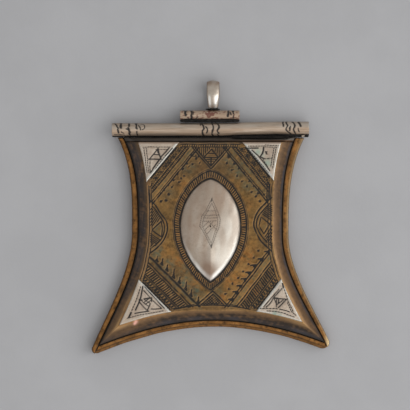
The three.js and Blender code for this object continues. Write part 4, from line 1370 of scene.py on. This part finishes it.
def bottom_rim():
    shape = moved_in(plate_outline()[:-1], 0.5)
    curves = []
    for level in (HEM_RIM_SETBACK, HEM_RIM_SETBACK + HEM_RIM_WIDTH + RIM_SWELL):
        xs = np.linspace(rim_end(LEFT, level)[0], rim_end(RIGHT, level)[0], 2 * RIM_STEPS)
        curve = np.stack([xs, hem_y(xs, level)], 1)
        curves.append(resample(curve[within(curve, shape)], np.linspace(0, 1, RIM_STEPS)))
    strip("bottom", *curves, 81, edges=(0.42, 0.3))


# Cap: closure, sleeve, strips, tubes and loop
def closure():
    low_y = box_mm("cap_closure")[0][1]
    x, y, z = Skin(0.0, CLOSURE_FOOT).swept(np.linspace(low_y, TOP_Y - 0.02, 16))
    lining = Skin(SHEET, CLOSURE_FOOT).swept(np.linspace(low_y, TOP_Y - SHEET - 0.05, 6))
    up = (y - low_y) / (TOP_Y - low_y)
    # A painted highlight line along the middle, stronger to the right, and painted shadow along the upper
    # edge under the tube
    ridge = hump(up - 0.5, 0.22) * (0.25 + 0.75 * smoothstep(-24, 6, x))
    patches = squash(1.5 * waves(x, y, 9, 91))
    top = z > KNEE_Z + 0.3
    z = z + top * (0.05 * waves(x, y, 7, 92) - 0.05)
    warm = smoothstep(0.4, 0.12, up) * smoothstep(-6, 12, x) * (0.4 + 0.6 * patches) * top
    wear = ridge * (0.3 + 0.7 * patches) * top
    work = Patchwork()
    work.add(x, y, z, wear=wear, groove=0.9 * smoothstep(0.8, 0.98, up), warm=warm)
    # The end under the tube and the lining are dark, as painted shade
    work.skirt(x[-1], y[-1], z[-1], CLOSURE_FOOT, groove=1.0)
    work.bridge((x, y, z), lining, 0, groove=0.6)
    work.add(*lining, groove=0.8)
    points, quads, marks = work.joined()
    make_piece("closure_band", points, quads, "dark_patina", "cap", "cap_closure", marks)


def sleeve():
    low, high = box_mm("cap_sleeve")
    ys = np.linspace(low[1], high[1] - 0.05, 40)
    work = Patchwork()
    skins = []
    for skin in (Skin(0.75, low[2]), Skin(1.15, low[2] + 0.4)):
        x, _, z = skin.swept(ys)
        under = np.linspace(x[:, -1], x[:, 0], 40, axis=1)[:, 1:-1]
        x = np.concatenate([x, under, x[:, :1]], 1)
        z = np.concatenate([z, np.full(under.shape, skin.low_z), z[:, :1]], 1)
        y = np.broadcast_to(ys[:, None], x.shape)
        scrape = np.clip(waves(x * 3, y * 0.2, 2.5, 95), 0, 1) * 0.6
        work.add(x, y, z, wear=scrape, groove=0.25 * smoothstep(high[1] - 4, high[1], y))
        skins.append((x, y, z))
    for row in (0, -1):
        work.bridge(*skins, row, wear=0.7)
    points, quads, marks = work.joined()
    make_piece("sleeve", points, quads, "rim_brass", "cap", "cap_sleeve", marks, closed=True)


AXIS_Z = 4.1
TUBE = dict(radius=2.15, wall=0.55, length=65.0, slit=1.1)
HANGER = dict(radius=1.58, wall=0.5, length=19.6, slit=0.2)


def tube_angles(slit, radius):
    """Angles round a tube from one side of its slit to the other."""
    half_turn = math.pi - math.asin(slit / 2 / radius)
    return np.linspace(-half_turn, half_turn, TUBE_ROWS)[:, None]


def split_tube(name, node, art, radius, wall, length, slit, seed, tilt=0.0, sag=0.0, dull=0.0, stains=None):
    """A tube rolled from sheet along X, with its seam on the -Y side and engraved marks."""
    xs = ends_blunted(-length / 2, length / 2, TUBE_PITCH, 0.06)
    x = np.broadcast_to(xs[None], (TUBE_ROWS, len(xs)))
    angle = tube_angles(slit, radius)
    down = (angle - math.pi / 2) * np.ones_like(x)
    v = radius * down
    cut = art.read(*waver(x, v, 0.06, 1.5, seed + 1))
    from_end = length / 2 - np.abs(x)
    r = radius - 0.02 - rounded_drop(from_end, 0.16) * 0.8 - TUBE_CUT * cut
    r = r - 0.012 * (1 + waves(x * 0.35, v, 5, seed + 3)) - 0.006 * (1 + waves(x * 0.1, v * 2, 2.2, seed + 4))
    bend = 0.04 * waves(x, x * 0, 26, seed + 5) - sag * (0.3 + 0.7 * hump(x, 9))
    skin = x, r * np.cos(angle) + bend, r * np.sin(angle)

    # The tube is light along its crest, with a painted highlight at its ends; below the crest, on its lower
    # side and in its middle it is darker as painted shade and dulling, and it is dark along both long edges,
    # in painted shade at the slit
    streak = np.clip(waves(x * 0.2, v, 1.4, seed + 6), 0, 1)
    dark_streak = np.clip(-waves(x * 0.1, v, 1.4, seed + 6), 0, 1)
    lower_side_shade = smoothstep(0.5, 1.1, down) * (0.75 + 0.4 * waves(x * 0.5, v, 3, seed + 7)).clip(0.2, 1)
    dulled = dull + 0.75 * smoothstep(-0.4, 0.25, down) + 0.3 * hump(x, 7)
    groove = np.clip(1.6 * cut + smoothstep(1.45, 1.75, down) + 0.2 * smoothstep(-0.9, -1.25, down), 0, 1)
    wear = np.clip(0.5 * smoothstep(0.5, 0.0, from_end) + 0.25 * streak, 0, 1)
    tarnish = np.clip(np.maximum(lower_side_shade, dulled) + 0.3 * dark_streak, 0, 1)
    work = Patchwork()
    work.add(*skin, groove=groove, wear=wear, tarnish=tarnish, red=stains(x, v) if stains else 0.0)

    inner = radius - wall
    angle = tube_angles(slit, inner)
    lining = x, inner * np.cos(angle) + bend, inner * np.sin(angle) * np.ones_like(x)
    # Inside, and along the slit, the tube is dark as painted shade
    work.add(*lining, groove=0.85)
    for column in (np.s_[:, 0], np.s_[:, -1]):
        work.bridge(skin, lining, column, wear=0.5)
    for row in (0, -1):
        work.bridge(skin, lining, row, groove=1.0)
    points, quads, marks = work.joined()
    px, py, pz = points.T
    cos, sin = heading(tilt)
    middle = sum(box_mm(node)) / 2
    points = np.stack([middle[0] + px * cos - py * sin, middle[1] + px * sin + py * cos, pz + AXIS_Z], 1)
    make_piece(name, points, quads, "drawn_silver", "cap", node, marks, closed=True)


# Chiselled marks on the tubes: half width, then points as X and the way down from the crest
LONG_TUBE_MARKS = (
    (0.46, (-31.4, -2.4), (-30.9, -1.4), (-30.3, -0.4)), (0.6, (-29.5, -2.6), (-29.5, -0.5)),
    (0.46, (-30.6, -0.1), (-30.2, 1.3)), (0.3, (-29.3, 0.8), (-28.6, 1.3)),
    (0.56, (-26.8, -2.6), (-26.8, -1.1)), (0.56, (-27.1, -0.5), (-26.6, 0.9)),
    (0.34, (-27.7, -0.2), (-27, 0.2)), (0.46, (-26.7, 1.4), (-26.6, 2.2)),
    (0.58, (-24.5, -2.6), (-24.3, -0.4)), (0.36, (-24.3, 0.7), (-24.1, 2.4)),
    (0.3, (-23.6, -1.9), (-23, 0.2)), (0.26, (-23, -1.7), (-22, -2), (-21.6, -0.8), (-22.5, 0.1)),
    (0.36, (-31.6, 2), (-28.4, 2.3)), (0.46, (-2.95, -2.6), (-2.1, -0.4), (-2.7, 0.7), (-2.3, 2.6)),
    (0.42, (-1.5, -0.9), (-1, 0.2), (-1.3, 1.3)), (0.46, (0.5, -2.6), (1, -0.4), (0.5, 0.8), (0.8, 2.6)),
    (0.46, (2, -2.6), (2.9, -1), (2.2, 0.4), (2.8, 1.5)), (0.34, (2.3, 1.9), (2.7, 2.6)),
    (0.34, (-3.4, -2.5), (-3.2, -1.5)), (0.5, (23.9, -2.6), (24, -0.6)),
    (0.46, (24.9, -2.6), (25.3, -0.7), (24.9, 0.7), (25.9, 1.8), (26.5, 2.5)),
    (0.46, (27, -2.6), (27.8, -0.9), (27.4, 0.6), (28, 2.5)), (0.52, (29, -2.6), (29.7, -0.6)),
    (0.34, (26.3, -0.5), (26, 0.9)), (0.3, (28.8, 0.2), (29.2, 1.6)),
)
SHORT_TUBE_MARKS = (
    (0.6, (-8.1, -2.3), (-8, 0.2)), (0.36, (-8.6, -2), (-7.4, -2)), (0.54, (-6.1, -2.3), (-6, -0.6)),
    (0.5, (-6.1, -0.2), (-6, 2)), (0.36, (-5.5, -1.3), (-5.5, -0.2)), (0.54, (6.2, -2), (5.9, 0.5)),
    (0.4, (6.7, -0.9), (7, -0.1)), (0.46, (7.2, -2.3), (7.8, -0.5)), (0.36, (8, -2.2), (7.7, -1.2)),
    (0.3, (7.9, 0.2), (7.6, 1.2)), (0.26, (-7.4, 1), (-6.7, 1.5)), (0.26, (-4.6, 1.3), (-3.9, 0.8)),
)


def tube_art(marks, half_length, half_round):
    art = Engraving((-half_length, -half_round), (half_length, half_round))
    for width, *points in marks:
        art.line(rounded(points) if len(points) > 2 else points, width=width)
    return art


def rust(x, v):
    """Red crust on the short tube: a patch near its middle and specks along its lower side."""
    patch = 0.6 * waves(x, v, 1.1, 131) + 1.7 - np.abs(x - 0.1) / 1.6 - np.abs(v + 0.5) * 0.9
    specks = waves(x, v, 1.0, 132) * 0.8 + 0.7 * smoothstep(0.5, 1.1, v) - 0.2
    return np.maximum(0.85 * smoothstep(0.0, 0.8, patch), 0.7 * smoothstep(0.5, 1.0, specks))


def tubes():
    long_art, short_art = tube_art(LONG_TUBE_MARKS, 33, 4), tube_art(SHORT_TUBE_MARKS, 10, 3)
    split_tube("long_tube", "cap_tube", long_art, **TUBE, seed=110, tilt=0.5, sag=0.35)
    split_tube("short_tube", "hanger_tube", short_art, **HANGER, seed=140, dull=0.7, stains=rust)


def bar(name, node, section, low_x, high_x, seed, wobble=0.05, blunt=0.5):
    """A black bar along X with a closed section in Y and Z, blunted at its ends."""
    section = np.array(section, float)
    centre = section.mean(0)
    xs = ends_blunted(low_x, high_x, BAR_PITCH, 0.12)
    shrink = 1 - 0.55 * rounded_drop(np.minimum(xs - low_x, high_x - xs), blunt) / blunt
    loop = np.concatenate([section, section[:1]])
    y, z = (centre[k] + (loop[:, k:k + 1] - centre[k]) * shrink[None] for k in (0, 1))
    x = np.broadcast_to(xs[None], y.shape)
    lump = wobble * waves(x, y * 2 + z, 3, seed)
    lump[-1] = lump[0]
    pull = 1 - np.abs(lump) / max(np.ptp(section[:, 0]), 1)
    y, z = centre[0] + (y - centre[0]) * pull, centre[1] + (z - centre[1]) * pull
    work = Patchwork()
    work.add(x, y, z)
    points, quads, _ = work.joined()
    faces = [tuple(q) for q in quads.tolist()]
    for end in (low_x, high_x):
        ring = np.flatnonzero(np.abs(points[:, 0] - end) < 1e-6)
        turn = np.arctan2(points[ring, 2] - centre[1], points[ring, 1] - centre[0])
        faces.append(tuple(ring[np.argsort(turn)].tolist()))
    make_piece(name, points, faces, "black_strip", "cap", node, closed=True)


def spine_strip():
    (low_x, low_y, low_z), (high_x, high_y, high_z) = box_mm("cap_spine")
    left, right, lower, upper = low_y + 0.15, high_y - 0.1, low_z + 0.2, high_z - 0.2
    section = [
        (low_y, lower), (left, low_z), (right, low_z), (high_y, lower),
        (high_y, upper), (right, high_z), (left, high_z), (low_y, upper),
    ]
    bar("spine_strip", "cap_spine", section, low_x, high_x, 151)


def saddle():
    """A strip that fills the hollow between the two tubes."""
    low, high = box_mm("hanger_saddle")
    tube_y, hanger_y = (sum(box_mm(node))[1] / 2 for node in ("cap_tube", "hanger_tube"))
    heights = np.linspace(-1, 1, 9) * (high[2] - low[2]) / 2
    under, over = TUBE["radius"] + 0.12, HANGER["radius"] + 0.08
    lower = [(max(low[1], tube_y + math.sqrt(under**2 - t**2)), AXIS_Z + t) for t in heights]
    upper = [(min(high[1], hanger_y - math.sqrt(over**2 - t**2)), AXIS_Z + t) for t in heights[::-1]]
    bar("saddle_strip", "hanger_saddle", lower + upper, low[0], high[0], 161, wobble=0.08, blunt=1.2)


LOOP_STRAP, LOOP_CROWN, LOOP_FOOT_WIDTH = 1.1, 0.82, 3.3


def loop():
    low, high = box_mm("bail_loop")
    middle, (width, height, depth) = (low + high) / 2, high - low
    angle = np.linspace(0, 2 * np.pi, 161)[None]
    half = lerp(LOOP_FOOT_WIDTH, width, np.minimum(1, 1 + np.sin(angle))) / 2

    # The strap's section: how far across as a share of its half width, and how far in from its crest
    crown = [(-math.cos(a), LOOP_CROWN * (1 - math.sin(a) ** 0.9)) for a in np.linspace(0, np.pi, 22)]
    shoulder, edge = LOOP_STRAP - 0.2, LOOP_STRAP - 0.02
    inside = [(s, LOOP_STRAP) for s in np.linspace(0.8, -0.8, 9)]
    section = [(-0.93, edge), (-1.0, shoulder), *crown, (1.0, shoulder), (0.93, edge), *inside, (-0.93, edge)]
    across, sunk = np.array(section)[:, 0:1], np.array(section)[:, 1:2]
    x = middle[0] + across * half
    sunk = sunk + 0.03 * (1 + waves(across * 2, angle * 4, 3, 171)) * (sunk < LOOP_STRAP - 0.1)
    y = middle[1] + (height / 2 - sunk) * np.sin(angle)
    z = middle[2] + (depth / 2 - sunk) * np.cos(angle)
    y[:, -1], z[:, -1] = y[:, 0], z[:, 0]

    # Two painted highlights run along the lower front, between dull edges; the upper half, the strip between
    # the highlights and the inside are darker as painted shade, and the foot is dark
    edge = smoothstep(0.8, 1.0, np.abs(across))
    foot = smoothstep(-0.95, -0.995, np.sin(angle))
    inner = sunk > LOOP_STRAP - 0.15
    front = smoothstep(0.1, -0.3, np.sin(angle)) * (np.cos(angle) > 0) * (sunk < LOOP_STRAP - 0.3)
    bands = hump(across + 0.62, 0.2) + hump(across - 0.5, 0.3)
    smudge = smoothstep(-0.2, 0.9, np.sin(angle)) * (0.5 + 0.4 * waves(x, y, 2.5, 172)).clip(0, 1)
    tarnish = np.clip(0.8 * smudge + 0.5 * edge + 0.4 * front * (1 - bands), 0, 1)
    groove = np.clip(0.3 * edge + 0.8 * foot + 0.5 * inner, 0, 1)
    shine = np.clip(front * bands, 0, 1)
    work = Patchwork()
    work.add(x, y, z, wear=0.3 * (1 - edge), tarnish=tarnish, groove=groove, shine=shine)
    points, quads, marks = work.joined()
    make_piece("strap_loop", points, quads, "silver", "cap", "bail_loop", marks, closed=True)


def solder_seam():
    """Solder between the closure and the long tube, on the right, black as painted shade under the tube."""
    section = [(30.3, 6.0), (30.85, 5.0), (31.05, 5.6), (30.85, 6.4), (30.4, 6.9)]
    bar("solder_seam", None, section, 7.0, 25.6, 187, wobble=0.1, blunt=5.0)


def solder(name, centre, reach, material, seed):
    """A low lump of solder."""
    up, turn = np.linspace(0, np.pi, 18)[:, None], np.linspace(0, 2 * np.pi, 33)[None]
    x = reach[0] * np.sin(up) * np.cos(turn)
    y = reach[1] * np.sin(up) * np.sin(turn)
    z = reach[2] * np.cos(up) * np.ones_like(x)
    lump = 1 - 0.08 * (1 + waves(x * 2 + z, y * 2, 1.5, seed))
    points = np.stack([middle + offset * lump for middle, offset in zip(centre, (x, y, z))], -1)
    rings = points[1:-1, :-1]
    faces = ring_faces(*rings.shape[:2])
    make_piece(name, rings.reshape(-1, 3), faces, material, "cap", closed=True)


def solder_joints():
    low, high = box_mm("bail_loop")
    foot = ((low[0] + high[0]) / 2, low[1] + 0.02, AXIS_Z)
    solder("solder_loop", foot, (2.4, 0.42, 1.7), "black_strip", 181)
    solder("solder_tube_right", (30.4, 31.0, AXIS_Z + 0.4), (0.55, 0.45, 0.5), "silver", 182)
    solder("solder_tube_left", (-28.6, 31.0, AXIS_Z + 0.3), (0.5, 0.35, 0.4), "dark_patina", 183)


# Charm: folded paper, a leather wrap and thread ties, inside the box
def ribbon(name, node, path, thickness, ys, material, seed):
    """A sheet that follows a path in X and Z, as long as ys along Y."""
    path = np.array(path, float)
    way = np.gradient(path, axis=0)
    way /= np.hypot(*way.T)[:, None]
    square = np.stack([-way[:, 1], way[:, 0]], 1) * thickness / 2
    wave = np.sin(ys * 1.1 + seed) * 0.02
    upper, lower = path + square, path - square
    loop = np.concatenate([upper, lower[::-1], upper[:1]])
    end_x, end_z = np.stack([upper, lower], 1).T
    work = Patchwork()
    work.add(loop[:, 0:1], ys[None], loop[:, 1:2] + wave[None])
    for end in (0, -1):
        work.add(end_x, ys[end], end_z + wave[end])
    points, quads, _ = work.joined()
    return make_piece(name, points, quads, material, "box", node, closed=True)


PAPER_LEAVES, LEAF_GAP = 6, 0.05


def folded_paper():
    low, high = box_mm("paper_charm")
    pitch = (high[2] - low[2]) / PAPER_LEAVES
    reach = high[0] - pitch / 2 - LEAF_GAP
    path = []
    for leaf in range(PAPER_LEAVES):
        z = low[2] + pitch * (leaf + 0.5)
        way = 1 if leaf % 2 == 0 else -1
        path += [(x, z) for x in np.linspace(-reach, reach, 24)[::way]]
        if leaf < PAPER_LEAVES - 1:
            for turn in np.linspace(-np.pi / 2, np.pi / 2, 7)[1:-1]:
                x = reach + pitch / 2 * math.cos(turn)
                path.append((way * x, z + pitch / 2 * (1 + math.sin(turn))))
    ys = np.linspace(low[1], high[1], 40)
    ribbon("folded_paper", "paper_charm", path, pitch - LEAF_GAP, ys, "rag_paper", 1.0)


def around(low, high, inset, corner):
    """A path round a box section in X and Z, with round corners."""
    (x0, _, z0), (x1, _, z1) = low + inset + corner, high - inset - corner
    path = [(0.0, z1 + corner)]
    for x, z, start in ((x1, z1, 90), (x1, z0, 0), (x0, z0, -90), (x0, z1, -180)):
        path += [np.array([x, z]) + corner * heading(start - turn) for turn in range(0, 91, 15)]
    return path


def leather_wrap():
    low, high = box_mm("charm_wrap")
    path = densify([*around(low, high, 0.25, 0.7), (-1.5, high[2] - 0.25)], 0.5)
    ys = np.linspace(low[1], high[1], 40)
    made = ribbon("leather_wrap", "charm_wrap", path, 0.44, ys, "goat_leather", 2.0)


THREAD, THREAD_TURNS = 0.3, 3


def thread_tie(place):
    low, high = box_mm(f"charm_tie_{place}")
    section = around(low, high, THREAD / 2, 0.8)[1:]
    path = []
    for turn in range(THREAD_TURNS):
        for k, (x, z) in enumerate(section):
            turned = (turn + k / len(section)) * THREAD * 0.98 * (THREAD_TURNS - 1) / THREAD_TURNS
            path.append((x, low[1] + THREAD / 2 + turned, z))
    path = np.array(path)
    way = np.gradient(path, axis=0)
    way /= np.linalg.norm(way, axis=1)[:, None]
    side = np.cross(way, np.array([0, 1, 0]))
    side /= np.linalg.norm(side, axis=1)[:, None]
    up = np.cross(side, way)
    turn = np.linspace(0, 2 * np.pi, 10)[:, None, None]
    skin = path[None] + THREAD / 2 * (side[None] * np.cos(turn) + up[None] * np.sin(turn))
    skin[-1] = skin[0]
    work = Patchwork()
    work.add(skin[..., 0], skin[..., 1], skin[..., 2])
    points, quads, _ = work.joined()
    make_piece(f"thread_tie_{place}", points, quads, "cotton_thread", "box", f"charm_tie_{place}")


# Camera, light and floor
def set_camera():
    camera = bpy.data.objects.new("camera", bpy.data.cameras.new("camera"))
    bpy.context.scene.collection.objects.link(camera)
    middle = PHOTO_SIDE / 2
    x = (middle - ORIGIN_PIXEL[0]) * PIXEL_SIZE
    y = (ORIGIN_PIXEL[1] - middle) * PIXEL_SIZE
    camera.location = (x * MM, y * MM, (CAMERA_DISTANCE + RIM_TOP) * MM)
    camera.data.sensor_width = SENSOR
    camera.data.lens = SENSOR * CAMERA_DISTANCE / (PHOTO_SIDE * PIXEL_SIZE)
    camera.data.clip_start, camera.data.clip_end = 0.01, 10.0
    bpy.context.scene.camera = camera


def area_light(name, place, size, power, tint=(1, 1, 1)):
    """A rectangular light that points at the part."""
    data = bpy.data.lights.new(name, "AREA")
    data.shape, data.size, data.size_y = "RECTANGLE", size[0], size[1]
    data.energy, data.color = power, tint
    light = bpy.data.objects.new(name, data)
    bpy.context.scene.collection.objects.link(light)
    light.location = place
    light.rotation_mode = "QUATERNION"
    light.rotation_quaternion = (-Vector(place)).to_track_quat("-Z", "Y")


def set_light():
    world = bpy.data.worlds.new("studio")
    bpy.context.scene.world = world
    world.use_nodes = True
    tree = world.node_tree
    seen = add_node(tree, "ShaderNodeLightPath").outputs["Is Camera Ray"]
    lit, shown = (0.58, 0.58, 0.58, 1), (0.42, 0.42, 0.42, 1)
    mix = add_node(tree, "ShaderNodeMixRGB", Fac=seen, Color1=lit, Color2=shown)
    tree.links.new(mix.outputs[0], tree.nodes["Background"].inputs["Color"])
    area_light("softbox", (0.40, -0.40, 0.74), (1.1, 1.1), 3.6, (1.0, 0.995, 0.985))
    area_light("side_window", (0.8, 0.1, 0.55), (0.8, 0.6), 2.6)


def set_floor():
    half = 1500 * MM
    corners = [(-half, -half, 0), (half, -half, 0), (half, half, 0), (-half, half, 0)]
    mesh = bpy.data.meshes.new("floor")
    mesh.from_pydata(corners, [], [(0, 1, 2, 3)])
    mesh.materials.append(MATERIALS["grey_card"])
    floor = bpy.data.objects.new("floor", mesh)
    floor.location.z = -0.02 * MM
    bpy.context.scene.collection.objects.link(floor)


set_camera()
set_light()
set_floor()
front_cover()
for plate in PLATES:
    corner_plate(plate)
boss()
back_plate()
for side in (LEFT, RIGHT):
    side_rim(side)
bottom_rim()
closure()
sleeve()
tubes()
spine_strip()
solder_seam()
saddle()
loop()
solder_joints()
folded_paper()
leather_wrap()
for place in ("upper", "lower"):
    thread_tie(place)

bpy.context.scene.view_settings.view_transform = "Standard"
